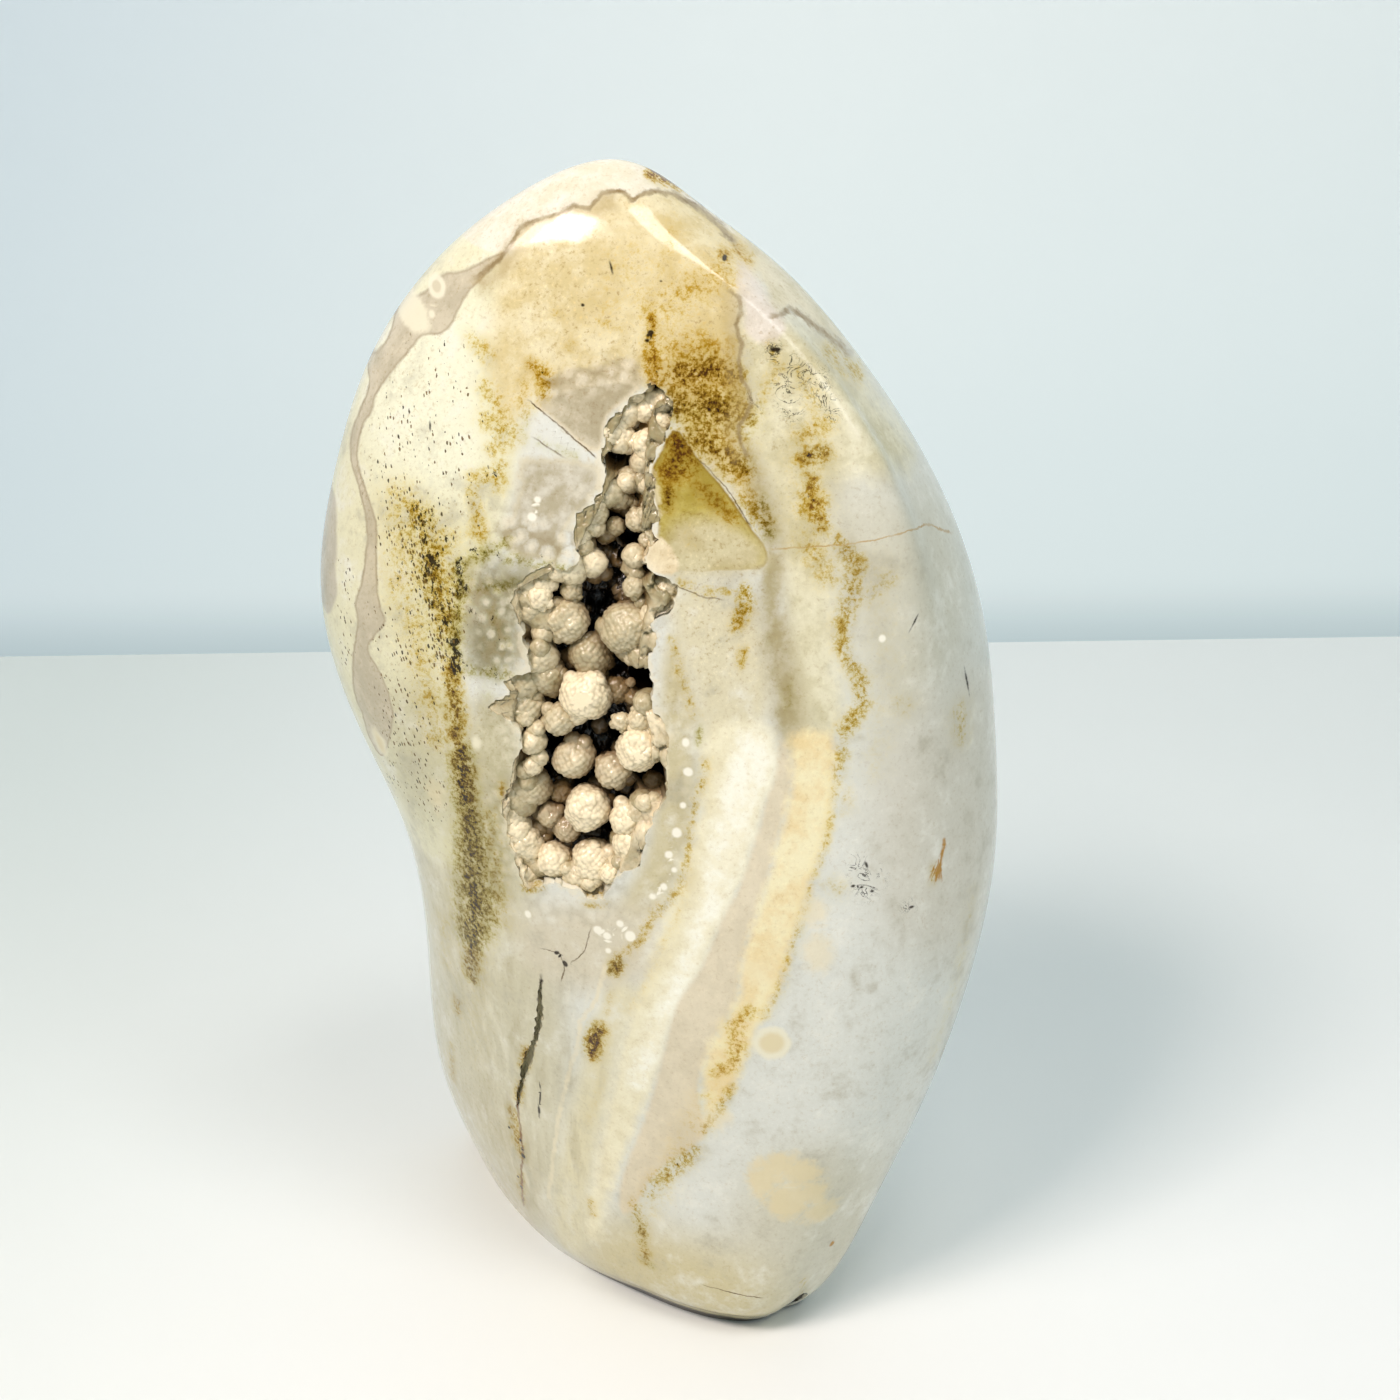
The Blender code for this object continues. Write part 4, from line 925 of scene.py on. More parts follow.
        (0.35, (-24.6, 84.0, 2.4), (-24.0, 74.0, 2.4)), (1.0, (-23.2, 85.0, 1.0), (-22.8, 79.0, 1.1)),
        (1.6, (-22.4, 77.0, 1.5), (-22.3, 70.0, 1.7)), (1.5, (-21.8, 69.0, 1.5), (-21.7, 65.0, 2.3),
                                                        (-21.8, 61.0, 2.5)),
        (1.6, (-21.8, 59.4, 2.6), (-22.0, 54.6, 2.7), (-23.0, 50.0, 1.9)),
        (1.0, (-22.7, 49.4, 1.3), (-23.2, 43.6, 1.0)), (0.6, (-19.4, 70.0, 1.3), (-19.0, 58.0, 1.5)),
        (1.0, (4.7, 82.8, 0.45), (4.8, 81.2, 0.5)), (1.1, (-4.6, 53.6, 0.8), (-5.2, 52.2, 0.8)),
        (1.1, (-7.3, 43.4, 0.9), (-8.0, 40.0, 0.9)), (0.9, (11.5, 107.4, 0.9), (12.3, 104.0, 1.0)),
        (0.35, (12.4, 100.0, 1.0), (12.6, 93.0, 0.9)), (0.6, (14.5, 87.6, 0.9), (14.4, 85.6, 0.9)),
        (0.6, (-2.7, 15.6, 1.3), (-2.2, 12.0, 1.1)), (0.7, (-2.0, 9.6, 0.9), (-1.2, 8.4, 0.8)),
        (0.7, (16.6, 112.0, 0.9), (18.0, 112.4, 0.9)), (0.6, (-12.8, 112.4, 0.7), (-8.8, 111.2, 0.6)),
        (0.5, (-14.6, 112.8, 0.8), (-13.6, 115.6, 0.6)), (0.8, (-5.2, 111.6, 0.7), (-3.4, 110.8, 0.6)),
        (0.5, (-17.4, 82.6, 1.0), (-19.6, 85.0, 1.0)), (0.5, (9.2, 44.4, 0.4), (9.0, 42.0, 0.4)),
    ),
    "black": (
        (0.6, (-26.2, 102.0, 3.0), (-24.8, 95.0, 3.6), (-24.2, 90.0, 2.4)),
        (0.35, (-28.4, 97.0, 2.0), (-27.0, 88.0, 2.0)), (0.22, (-22.8, 84.0, 1.4), (-22.4, 70.0, 1.6),
                                                         (-21.8, 60.0, 2.2), (-22.2, 52.0, 2.2),
                                                         (-23.2, 43.6, 1.2)),
        (0.45, (-15.4, 99.8, 0.7), (-12.0, 99.8, 0.8), (-9.0, 99.4, 0.6)),
        (0.5, (-17.6, 91.0, 0.6), (-18.6, 95.0, 0.5)), (0.16, (4.0, 119.6, 3.0), (7.0, 114.6, 3.0)),
        (0.3, (2.2, 112.6, 1.0), (3.0, 110.6, 1.4)), (1.0, (-22.0, 99.0, 0.8), (-22.0, 96.0, 1.0)),
        (0.9, (-25.3, 99.6, 0.6), (-24.6, 97.8, 0.6)), (0.8, (-25.4, 95.2, 0.8), (-23.2, 93.8, 1.1)),
        (1.35, (-22.9, 90.2, 0.7), (-22.7, 87.0, 0.85)), (0.7, (-24.6, 91.4, 0.9), (-23.4, 92.4, 0.8)),
        (0.55, (-27.2, 98.8, 0.5), (-26.2, 98.5, 0.5)), (0.6, (-24.4, 102.4, 1.2), (-22.8, 100.8, 0.9)),
        (0.35, (-26.6, 104.2, 0.8), (-25.6, 103.4, 0.8)), (0.75, (-22.3, 75.4, 0.7), (-22.2, 71.0, 0.7)),
        (0.4, (-23.2, 83.0, 0.5), (-22.8, 79.6, 0.6)), (0.25, (-22.0, 63.6, 1.4), (-21.6, 61.6, 1.4)),
        (0.3, (-21.7, 57.8, 1.6), (-22.4, 53.8, 1.6)), (0.5, (-23.2, 45.6, 0.6), (-23.1, 43.0, 0.6)),
        (0.5, (-22.8, 49.4, 0.8), (-22.5, 47.8, 0.8)), (0.55, (-20.4, 100.4, 0.8), (-17.6, 100.4, 0.7)),
        (0.5, (-19.0, 86.8, 0.8), (-16.4, 86.9, 0.7)), (0.45, (-27.6, 27.2, 0.3), (-28.1, 20.6, 0.3)),
        (0.4, (-29.4, 16.0, 0.3), (-29.5, 14.0, 0.3)), (0.4, (-25.6, 37.4, 0.4), (-25.9, 35.4, 0.4)),
        (0.6, (-0.3, 121.2, 0.5), (0.1, 119.6, 0.6)), (0.5, (-18.4, 108.6, 0.8), (-17.2, 109.2, 0.6)),
        (0.55, (-20.0, 105.6, 0.4), (-19.8, 103.6, 0.5)), (0.45, (-12.8, 119.8, 0.6),
                                                           (-12.0, 118.4, 0.6)),
                                                           (0.4, (-17.6, 112.4, 0.8),
                                                            (-15.6, 113.4, 0.7)),
        (0.45, (16.2, 112.0, 0.7), (18.2, 112.2, 0.7)), (0.35, (17.0, 107.4, 0.8), (17.2, 106.0, 0.8)),
        (0.16, (3.4, 118.4, 1.8), (8.2, 116.6, 2.0)), (0.5, (6.8, 120.6, 0.8), (8.2, 119.8, 0.7)),
        (0.6, (2.6, 26.2, 0.5), (0.8, 24.2, 0.5)), (0.35, (-2.8, 15.6, 0.7), (-2.4, 13.4, 0.6)),
        (0.4, (9.3, 96.8, 0.5), (8.8, 94.8, 0.5)), (0.4, (11.4, 107.2, 0.6), (12.0, 105.2, 0.6)),
        (0.45, (-13.4, 99.6, 0.5), (-9.4, 99.2, 0.4)),
    ),
    "dots": (
        (0.5, (-28.4, 113.0, 3.2), (-29.4, 100.0, 3.2)), (0.95, (-27.0, 102.5, 3.2), (-25.4, 95.0, 3.0),
                                                          (-24.6, 88.0, 2.4)),
        (0.65, (-28.6, 92.0, 3.2), (-28.6, 80.0, 3.2), (-27.2, 68.0, 2.6)),
        (0.5, (-36.0, 96.0, 1.0), (-36.6, 84.0, 1.0)), (0.7, (-31.4, 84.0, 0.8), (-31.6, 71.0, 1.0),
                                                        (-33.0, 64.0, 0.8), (-32.6, 58.0, 0.6)),
        (0.32, (-24.0, 119.0, 4.6), (-22.6, 110.0, 3.6)), (0.4, (-21.0, 115.0, 2.6), (-21.0, 106.0, 2.2)),
    ),
    "dendrites": (
        (1.0, (12.8, 122.4, 1.0), (14.3, 121.4, 1.0)), (0.9, (13.8, 119.2, 1.2), (14.6, 116.6, 1.2)),
        (0.8, (17.8, 118.2, 1.2), (19.2, 116.4, 1.0)), (0.75, (15.2, 120.4, 1.4), (17.6, 119.6, 1.4)),
        (0.8, (22.4, 67.6, 1.3), (23.6, 64.4, 1.5)), (0.5, (25.0, 66.2, 1.2), (25.0, 65.0, 1.2)),
        (0.6, (28.4, 61.5, 1.0), (29.0, 61.2, 0.8)), (0.75, (10.0, 117.8, 0.9), (10.7, 116.5, 0.8)),
        (0.4, (-4.0, 45.0, 0.3), (-4.0, 44.6, 0.3)),
    ),
    "coarse": (
        (1.0, (-10.0, 126.0, 8.0), (5.0, 124.0, 9.0)), (0.8, (5.0, 106.0, 6.0), (7.0, 92.0, 6.0)),
        (0.8, (-22.0, 104.0, 4.0), (-22.0, 54.0, 3.6)), (0.5, (-28.0, 118.0, 6.0), (-29.0, 80.0, 6.0)),
        (0.5, (14.0, 118.0, 6.0), (17.0, 104.0, 5.0)), (0.4, (-25.0, 52.0, 5.0), (-26.0, 20.0, 5.0)),
    ),
    "streaky": (
        (1.0, (-25.0, 62.0, 6.0), (-20.0, 40.0, 8.0), (-18.0, 10.0, 8.0)),
        (0.9, (-9.0, 48.0, 3.0), (-13.0, 6.0, 4.0)), (0.4, (6.0, 60.0, 5.0), (-3.0, 24.0, 6.0)),
    ),
    "nodules": (
        (1.0, (-11.0, 118.6, 1.6), (-6.0, 119.6, 1.8), (-2.4, 120.2, 1.4)),
        (1.4, (-16.0, 102.6, 2.2), (-10.0, 101.4, 2.4)), (0.7, (-18.2, 73.0, 1.6), (-18.4, 62.0, 1.8)),
        (0.35, (-15.0, 59.0, 1.8), (-8.0, 58.4, 2.0), (-3.0, 59.4, 1.8)),
        (0.35, (0.0, 62.0, 1.6), (2.4, 70.0, 1.6), (3.2, 80.0, 1.6), (1.6, 90.0, 1.4)),
        (0.7, (-7.4, 107.0, 1.8), (-8.6, 104.0, 1.6)), (0.8, (-17.2, 83.0, 1.2), (-16.6, 78.0, 1.4)),
        (1.3, (-19.0, 96.0, 2.0), (-17.0, 90.0, 2.4)),
    ),
}


def stain_field(stains):
    """How strong a stain is: its strength times exp of minus (distance over half width) to the 1.5."""
    field = np.zeros(band_x.shape)
    for strength, *path in stains:
        for (x0, h0, w0), (x1, h1, w1) in zip(path[:-1], path[1:]):
            run, climb = x1 - x0, h1 - h0
            x, height = band_x - x0, band_height - h0
            along = np.clip((x * run + height * climb) / (run**2 + climb**2), 0.0, 1.0)
            distance = np.hypot(x - along * run, height - along * climb)
            half_width = w0 + along * (w1 - w0)
            field = np.maximum(field, strength * np.exp(-((distance / half_width) ** 1.5)))
    return field


for name, (outline, *_) in BANDS.items():
    store(name, patch_field(outline))
for name, (spots, *_) in SPOTS.items():
    store(name, spot_field(spots), "FLOAT_COLOR")
for name, (paths, _, width, _) in LINES.items():
    beside, shown = line_field(paths, width)
    store(name, beside)
    store(name + "_shown", shown)
for name, stains in STAINS.items():
    store(name, stain_field(stains))
store("mouth_rim", patch_field(mouth[::4]))
# Where the foot is undercut, for the painted shadow on that strip.
front_left = slice(0, FRONT_COLUMNS // 2)
foot_share = np.interp(stone_points[:, 0], skin[0, front_left, 0], lifted[front_left])
low_front = (stone_points[:, 2] < 0.3) & (stone_points[:, 1] < 0.0)
store("undercut", np.where(low_front, foot_share, 0.0))


PALE_CLOUD = (234, 233, 222)
DARK_CLOUD = (176, 170, 148)
PALE_STREAK = (232, 228, 208)
DARK_STREAK = (172, 160, 122)
NODULE_EDGE = (154, 138, 100)
NODULE_HEART = (236, 228, 206)
DARK_GRAIN = (196, 170, 116)
PALE_GRAIN = (1.45, 1.45, 1.5, 1.0)
# Each wash is laid on in three steps, the more the stain has soaked in.
WASHES = (
    ("golden", (232, 214, 148), (212, 190, 92), (168, 138, 76)),
    ("olive", (226, 222, 178), (198, 191, 144), (130, 120, 74)),
)
WASH_STEPS = ((0.0, 1.15), (0.4, 1.5), (1.2, 2.3))
SOOT = (26, 18, 4)
DOT_BLACK = (28, 19, 6)
DOT_BROWN = (134, 104, 48)
DENDRITE = (34, 26, 10)
MOUTH_CREAM = (232, 222, 194)
# Painted shadow on the undercut strip under the foot's lifted edge.
UNDERCUT_PAINTED_SHADOW = (58, 48, 34)
QUARTZ_IOR = 1.54


def stone_finish():
    """Polished agate: ground tones, bands, stains, fine marks, lines, spots and painted shadow at the foot,
    under one gloss.
    """
    material, tree, shader, place = new_material("polished agate")

    def read(name, output="Fac"):
        return add(tree, "ShaderNodeAttribute", attribute_name=name).outputs[output]

    def times(first, second):
        return maths(tree, "MULTIPLY", first, second)

    def tinted(below, cover, strength, tint):
        """The colour below with a tint over it, where it covers and by its strength."""
        return mixed(tree, times(cover, strength), below, paint(*tint))

    def stretched(lean, length):
        """The place with its shapes drawn out along a line that leans that many radians to the right."""
        inputs = {"Vector": place, "Rotation": (0.0, lean, 0.0), "Scale": (1.0, 1.0, length)}
        return add(tree, "ShaderNodeMapping", inputs, vector_type="TEXTURE").outputs[0]

    cloud = noise(tree, place, 7.0, 3.0, 0.55)
    mottle = noise(tree, place, 2.2, 4.0, 0.65)
    ragged = noise(tree, place, 1.3, 4.0, 0.65)
    speckle = noise(tree, place, 0.5, 3.0, 0.75)
    grain = noise(tree, place, 0.25, 2.0, 0.6)
    coarse = read("coarse")

    colour = read("ground", "Color")
    lighter = maths(tree, "MULTIPLY_ADD", cloud, 0.55, times(mottle, 0.45))
    colour = tinted(colour, smooth_step(tree, lighter, 0.0, 0.2), 0.75, PALE_CLOUD)
    colour = tinted(colour, smooth_step(tree, lighter, 0.0, -0.24), 0.75, DARK_CLOUD)
    streaks = noise(tree, stretched(0.18, 7.0), 2.0, 4.0, 0.55)
    streaky = read("streaky")
    pale_streak = times(smooth_step(tree, streaks, 0.0, 0.18), streaky)
    colour = tinted(colour, pale_streak, 0.5, PALE_STREAK)
    dark_streak = times(smooth_step(tree, streaks, -0.02, -0.2), streaky)
    colour = tinted(colour, dark_streak, 0.45, DARK_STREAK)

    for name, (_, first, second, soft, rough, strength, *rim) in BANDS.items():
        wobble = maths(tree, "MULTIPLY_ADD", ragged, 0.6 * rough, times(mottle, 1.5 * rough))
        edge = maths(tree, "ADD", wobble, read(name))
        clouded = maths(tree, "MULTIPLY_ADD", mottle, 1.2, cloud)
        tint = mixed(tree, smooth_step(tree, clouded, -0.24, 0.24), paint(*second), paint(*first))
        if rim:
            rim_colour, rim_width = rim
            past_rim = smooth_step(tree, edge, 0.4 * rim_width, 1.2 * rim_width)
            on_rim = maths(tree, "SUBTRACT", 1.0, past_rim)
            varied = maths(tree, "MULTIPLY_ADD", mottle, 2.0, 0.65)
            shown = maths(tree, "MINIMUM", times(on_rim, varied), 0.9)
            tint = mixed(tree, shown, tint, paint(*rim_colour))
        cover = times(smooth_step(tree, edge, -soft, soft), strength)
        colour = mixed(tree, cover, colour, tint)

    axes = add(tree, "ShaderNodeSeparateXYZ", {0: place}).outputs
    spread = maths(tree, "SUBTRACT", times(axes[0], 0.9), times(axes[1], 0.45))
    sheet = add(tree, "ShaderNodeCombineXYZ", {0: spread, 1: axes[2]}).outputs[0]
    inputs = {"Vector": sheet, "Scale": 1000.0 / 1.6}
    lobes = add(tree, "ShaderNodeTexVoronoi", inputs, voronoi_dimensions="2D")
    lobe = maths(tree, "MULTIPLY_ADD", ragged, 0.7, lobes.outputs["Distance"])
    nodules = read("nodules")
    colour = tinted(colour, times(smooth_step(tree, lobe, 0.36, 0.7), nodules), 0.55, NODULE_EDGE)
    colour = tinted(colour, times(smooth_step(tree, lobe, 0.4, 0.1), nodules), 0.5, NODULE_HEART)

    grainy = maths(tree, "MULTIPLY_ADD", coarse, 0.55, 0.25)
    dark_grain = times(smooth_step(tree, speckle, -0.02, -0.24), grainy)
    colour = mixed(tree, dark_grain, colour, paint(*DARK_GRAIN), "MULTIPLY")
    grainy = maths(tree, "MULTIPLY_ADD", coarse, 0.35, 0.16)
    pale_grain = times(smooth_step(tree, speckle, 0.04, 0.24), grainy)
    colour = mixed(tree, pale_grain, colour, PALE_GRAIN, "MULTIPLY")

    moss = noise(tree, place, 1.0, 4.0, 0.75)
    uneven = maths(tree, "MULTIPLY_ADD", mottle, 1.8, maths(tree, "MULTIPLY_ADD", moss, 2.4, 0.95))
    for name, *tints in WASHES:
        soaked = read(name)
        amount = times(soaked, maths(tree, "MULTIPLY_ADD", speckle, 1.4, uneven))
        finer = maths(tree, "MULTIPLY_ADD", times(soaked, speckle), 2.4, amount)
        for reached, (low, high), tint in zip((amount, finer, finer), WASH_STEPS, tints):
            cover = smooth_step(tree, reached, low, high)
            colour = mixed(tree, cover, colour, paint(*tint), "MULTIPLY")

    flecks = noise(tree, stretched(-0.35, 1.8), 0.5, 3.0, 0.7)
    soot = read("black")
    sooty = maths(tree, "MULTIPLY_ADD", soot, 0.27, maths(tree, "MULTIPLY_ADD", mottle, 0.35, flecks))
    cover = times(smooth_step(tree, sooty, 0.2, 0.28), smooth_step(tree, soot, 0.03, 0.2))
    colour = tinted(colour, cover, 0.93, SOOT)

    inputs = {"Vector": sheet, "Rotation": (0.0, 0.0, 0.35), "Scale": (1.0, 1.9, 1.0)}
    leaning = add(tree, "ShaderNodeMapping", inputs, vector_type="TEXTURE")
    inputs = {"Vector": leaning.outputs[0], "Scale": 1000.0 / 0.38}
    cells = add(tree, "ShaderNodeTexVoronoi", inputs, voronoi_dimensions="2D")
    picked = add(tree, "ShaderNodeSeparateColor", {0: cells.outputs["Color"]})
    crowd = maths(tree, "MULTIPLY_ADD", mottle, 1.0, read("dots"))
    chosen = maths(tree, "LESS_THAN", picked.outputs[0], times(crowd, 0.6))
    dot_size = maths(tree, "MULTIPLY_ADD", crowd, 0.14, 0.02)
    dot_size = maths(tree, "MULTIPLY_ADD", picked.outputs[1], 0.3, dot_size)
    from_middle = maths(tree, "MULTIPLY_ADD", grain, 0.6, cells.outputs["Distance"])
    dot_edge = maths(tree, "SUBTRACT", dot_size, from_middle)
    dotted = times(chosen, smooth_step(tree, read("dots"), 0.02, 0.2))
    dot = times(smooth_step(tree, dot_edge, -0.03, 0.09), dotted)
    dot_shade = mixed(tree, times(picked.outputs[2], 0.75), paint(*DOT_BLACK), paint(*DOT_BROWN))
    colour = mixed(tree, times(dot, 0.92), colour, dot_shade)

    ridge = maths(tree, "ABSOLUTE", noise(tree, place, 2.0, 5.0, 0.62, 1.8))
    thin = maths(tree, "SUBTRACT", times(read("dendrites"), 0.036), ridge)
    colour = tinted(colour, smooth_step(tree, thin, 0.0, 0.014), 0.85, DENDRITE)

    for name, (_, tint, width, strength) in LINES.items():
        beside = maths(tree, "MULTIPLY_ADD", ragged, min(2.0, 0.4 + 1.0 * width), read(name))
        across = maths(tree, "DIVIDE", maths(tree, "ABSOLUTE", beside), width * 0.5)
        cover = maths(tree, "SUBTRACT", 1.0, smooth_step(tree, across, 0.3, 1.7))
        broken = maths(tree, "MULTIPLY_ADD", mottle, 2.4, 0.9)
        cover = times(times(cover, strength), times(read(name + "_shown"), broken))
        cover = maths(tree, "MAXIMUM", maths(tree, "MINIMUM", cover, 1.0), 0.0)
        colour = mixed(tree, cover, colour, paint(*tint))

    wobbly = maths(tree, "MULTIPLY_ADD", ragged, 1.6, times(mottle, 1.2))
    for name, (_, tint, soft, rough, strength) in SPOTS.items():
        spot = read(name, "Vector")
        inputs = {0: spot, 1: (1.0, 1.0, 0.0)}
        flat = add(tree, "ShaderNodeVectorMath", inputs, operation="MULTIPLY").outputs[0]
        reach = add(tree, "ShaderNodeVectorMath", {0: flat}, operation="LENGTH").outputs["Value"]
        size = add(tree, "ShaderNodeSeparateXYZ", {0: spot}).outputs[2]
        edge = times(maths(tree, "SUBTRACT", 1.0, reach), size)
        edge = maths(tree, "MINIMUM", edge, maths(tree, "ADD", read(name, "Alpha"), 0.35))
        edge = maths(tree, "MULTIPLY_ADD", wobbly, rough, edge)
        colour = tinted(colour, smooth_step(tree, edge, -soft, soft), strength, tint)

    near_rim = maths(tree, "MULTIPLY_ADD", cloud, 2.4, read("mouth_rim"))
    near_rim = maths(tree, "MULTIPLY_ADD", wobbly, 1.6, near_rim)
    colour = tinted(colour, smooth_step(tree, near_rim, -0.6, 0.2), 0.5, MOUTH_CREAM)
    # Painted shadow: the undercut strip under the foot's lifted edge turns near black-brown.
    under = smooth_step(tree, read("undercut"), 0.1, 0.5)
    colour = mixed(tree, under, colour, paint(*UNDERCUT_PAINTED_SHADOW))

    tree.links.new(colour, shader.inputs["Base Color"])
    tree.links.new(maths(tree, "MULTIPLY_ADD", grain, 0.06, 0.1), shader.inputs["Roughness"])
    shader.inputs["IOR"].default_value = QUARTZ_IOR
    shader.inputs["Specular IOR Level"].default_value = 0.4
    relief = maths(tree, "MULTIPLY_ADD", grain, 0.4, speckle)
    bump = add(tree, "ShaderNodeBump", {"Height": relief, "Strength": 0.06, "Distance": 0.0001})
    tree.links.new(bump.outputs[0], shader.inputs["Normal"])
    return material


stone.data.materials.clear()
stone.data.materials.append(stone_finish())
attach(stone, "root")
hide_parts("stone")


# Crystal lining. Quartz grown over the whole wall of the cave: a lumpy crust whose surface is all small
# crystal points, cream, with painted shade that turns it brown and then near black the deeper it lies in
# the gaps between the balls.
LINING_AROUND = 620
LINING_INWARDS = 116
LINING_MIDDLE = (-8.0, 86.0)
LINING_OVERLAP = 0.45
LINING_RIM_DEPTH = 0.2
LINING_BACK = 9.6
BACK_SHARES = (0.88, 0.6, 0.3)
LUMPS = 900
# The hollow left in the crust: height, left and right edges, and depth below the polished face.
HOLLOW = np.array((
    (60.5, -14.0, -7.0, 3.0), (64.5, -16.4, -4.5, 5.0), (70.0, -17.4, -2.5, 6.5),
    (76.0, -16.2, -0.6, 7.0), (82.0, -16.4, -0.6, 7.0), (87.0, -15.4, -2.0, 6.5),
    (92.0, -15.2, -1.8, 6.5), (96.5, -15.7, -0.5, 6.0), (100.0, -9.6, -2.5, 5.0),
    (104.5, -7.0, -1.5, 4.5), (109.0, -4.8, -1.2, 4.0), (113.0, -5.0, -1.0, 4.0), (117.5, -2.7, 0.5, 3.0),
))
# Deep holes between the balls: x, height, radius and depth.
HOLES = (
    (0.1, 118.0, 0.9, 5.0), (1.2, 115.4, 1.0, 5.0), (-4.3, 110.4, 1.2, 5.5), (-2.8, 102.2, 1.7, 7.0),
    (-3.6, 99.6, 0.9, 6.0), (-1.6, 99.2, 0.9, 6.0), (0.8, 98.6, 0.9, 5.0), (-6.7, 94.0, 1.5, 8.0),
    (-7.0, 91.3, 1.2, 8.5), (-15.0, 86.4, 1.0, 6.5), (-1.3, 86.6, 1.9, 9.0), (-12.2, 78.0, 1.6, 7.5),
    (-8.5, 73.4, 1.6, 8.6), (-0.7, 76.0, 2.0, 9.0), (-6.0, 68.6, 1.3, 8.0), (-7.0, 61.6, 0.8, 4.5),
    (-14.4, 62.2, 0.9, 4.5), (-4.6, 79.2, 1.4, 8.0), (-9.9, 80.4, 1.2, 7.5), (-4.4, 87.0, 1.1, 7.5),
)


def hollow_depth(x, height):
    """Depth of the crust's floor below the polished face: half an ellipse across, and a shelf round it."""
    left = np.interp(height, HOLLOW[:, 0], HOLLOW[:, 1])
    right = np.interp(height, HOLLOW[:, 0], HOLLOW[:, 2])
    deep = np.interp(height, HOLLOW[:, 0], HOLLOW[:, 3])
    ends = np.clip(np.minimum(height - 59.5, 119.0 - height) / 1.5, 0.0, 1.0)
    across = (2 * x - left - right) / (right - left)
    shelf = 0.3 + 0.5 * np.clip(across, 0.0, 1.0)
    return shelf + ends * deep * np.sqrt(np.maximum(0.0, 1.0 - across**2))


# Large numbers that mix up a cube's place and the seed into a random point.
CUBE_FACTORS = np.array((73856093, 19349663, 83492791))
SEED_FACTOR = 2654435
PLACE_FACTORS = np.array((1103515245, 22695477, 134775813))


def random_cells(points, size, seed):
    """Distance from each point to the nearest of one random point in each cube of that size, over the size.

    The random points come from a hash of the cube's whole-number place, and the 27 cubes round the
    point are tried.
    """
    cell = np.floor(points / size).astype(np.int64)
    nearest = np.full(points.shape[:-1], 9.0)
    for dx in (-1, 0, 1):
        for dy in (-1, 0, 1):
            for dz in (-1, 0, 1):
                cube = cell + np.array((dx, dy, dz))
                mixed_up = seed * SEED_FACTOR ^ np.bitwise_xor.reduce(cube * CUBE_FACTORS, axis=-1)
                parts = ((mixed_up[..., None] * PLACE_FACTORS) >> 7 & 1023) / 1023.0
                spot = (cube + parts) * size
                nearest = np.minimum(nearest, np.linalg.norm(points - spot, axis=-1))
    return nearest / size


def grid_faces(rows, columns):
    """Quads between rows of points that close round their columns."""
    row, column = np.meshgrid(np.arange(rows - 1), np.arange(columns), indexing="ij")
    following = (column + 1) % columns
    low, high = row * columns, (row + 1) * columns
    corners = [low + column, low + following, high + following, high + column]
    return np.stack(corners, axis=-1).reshape(-1, 4)


lining_edge = jagged(resampled(MOUTH, LINING_AROUND, True), *EDGE_BREAKS)
outwards = lining_edge - np.array(LINING_MIDDLE)
outwards /= np.linalg.norm(outwards, axis=1, keepdims=True)
lining_edge = lining_edge + LINING_OVERLAP * outwards
inwards = np.linspace(0.0, 1.0, LINING_INWARDS)[1:]
share = 1.0 - (1.0 - inwards) ** 1.5
flat = np.array(LINING_MIDDLE) + share[:, None, None] * (lining_edge - np.array(LINING_MIDDLE))
lining_x, lining_height = flat[..., 0], flat[..., 1]
depth = hollow_depth(lining_x, lining_height)
dice = np.random.default_rng(5)
lumps = np.stack([dice.uniform(-19.0, 3.0, LUMPS), dice.uniform(59.0, 120.0, LUMPS)], axis=1)
lump_sizes = dice.uniform(0.6, 1.5, LUMPS)
raised = np.zeros(depth.shape)
for (x, height), size in zip(lumps, lump_sizes):
    distance = np.hypot(lining_x - x, lining_height - height)
    raised = np.maximum(raised, np.sqrt(np.maximum(0.0, size**2 - distance**2)) * 1.2)
depth = np.maximum(0.3, depth + 0.5 - raised)
for x, height, radius, hole_depth in HOLES:
    distance = np.hypot(lining_x - x, lining_height - height) / radius
    shape = np.clip(1.25 - distance, 0.0, 1.0)
    depth = np.maximum(depth, hole_depth * np.sqrt(np.clip(shape * 1.6, 0.0, 1.0)))
rim = np.clip((share[:, None] - 0.985) / 0.015, 0.0, 1.0)
depth = depth * (1 - rim) + LINING_RIM_DEPTH * rim
lining = np.stack([lining_x, face_y(lining_x, lining_height) + depth, lining_height], axis=-1)
points_out = np.clip(1.0 - random_cells(lining, 0.7, 3), 0.0, 1.0)
lining[..., 1] -= (0.35 * points_out + 0.1 * waves(lining, 0.9, 70)) * (1 - rim)
lining[..., 1] = np.maximum(lining[..., 1], face_y(lining_x, lining_height) + 0.15)
lining_depth = lining[..., 1] - face_y(lining_x, lining_height)

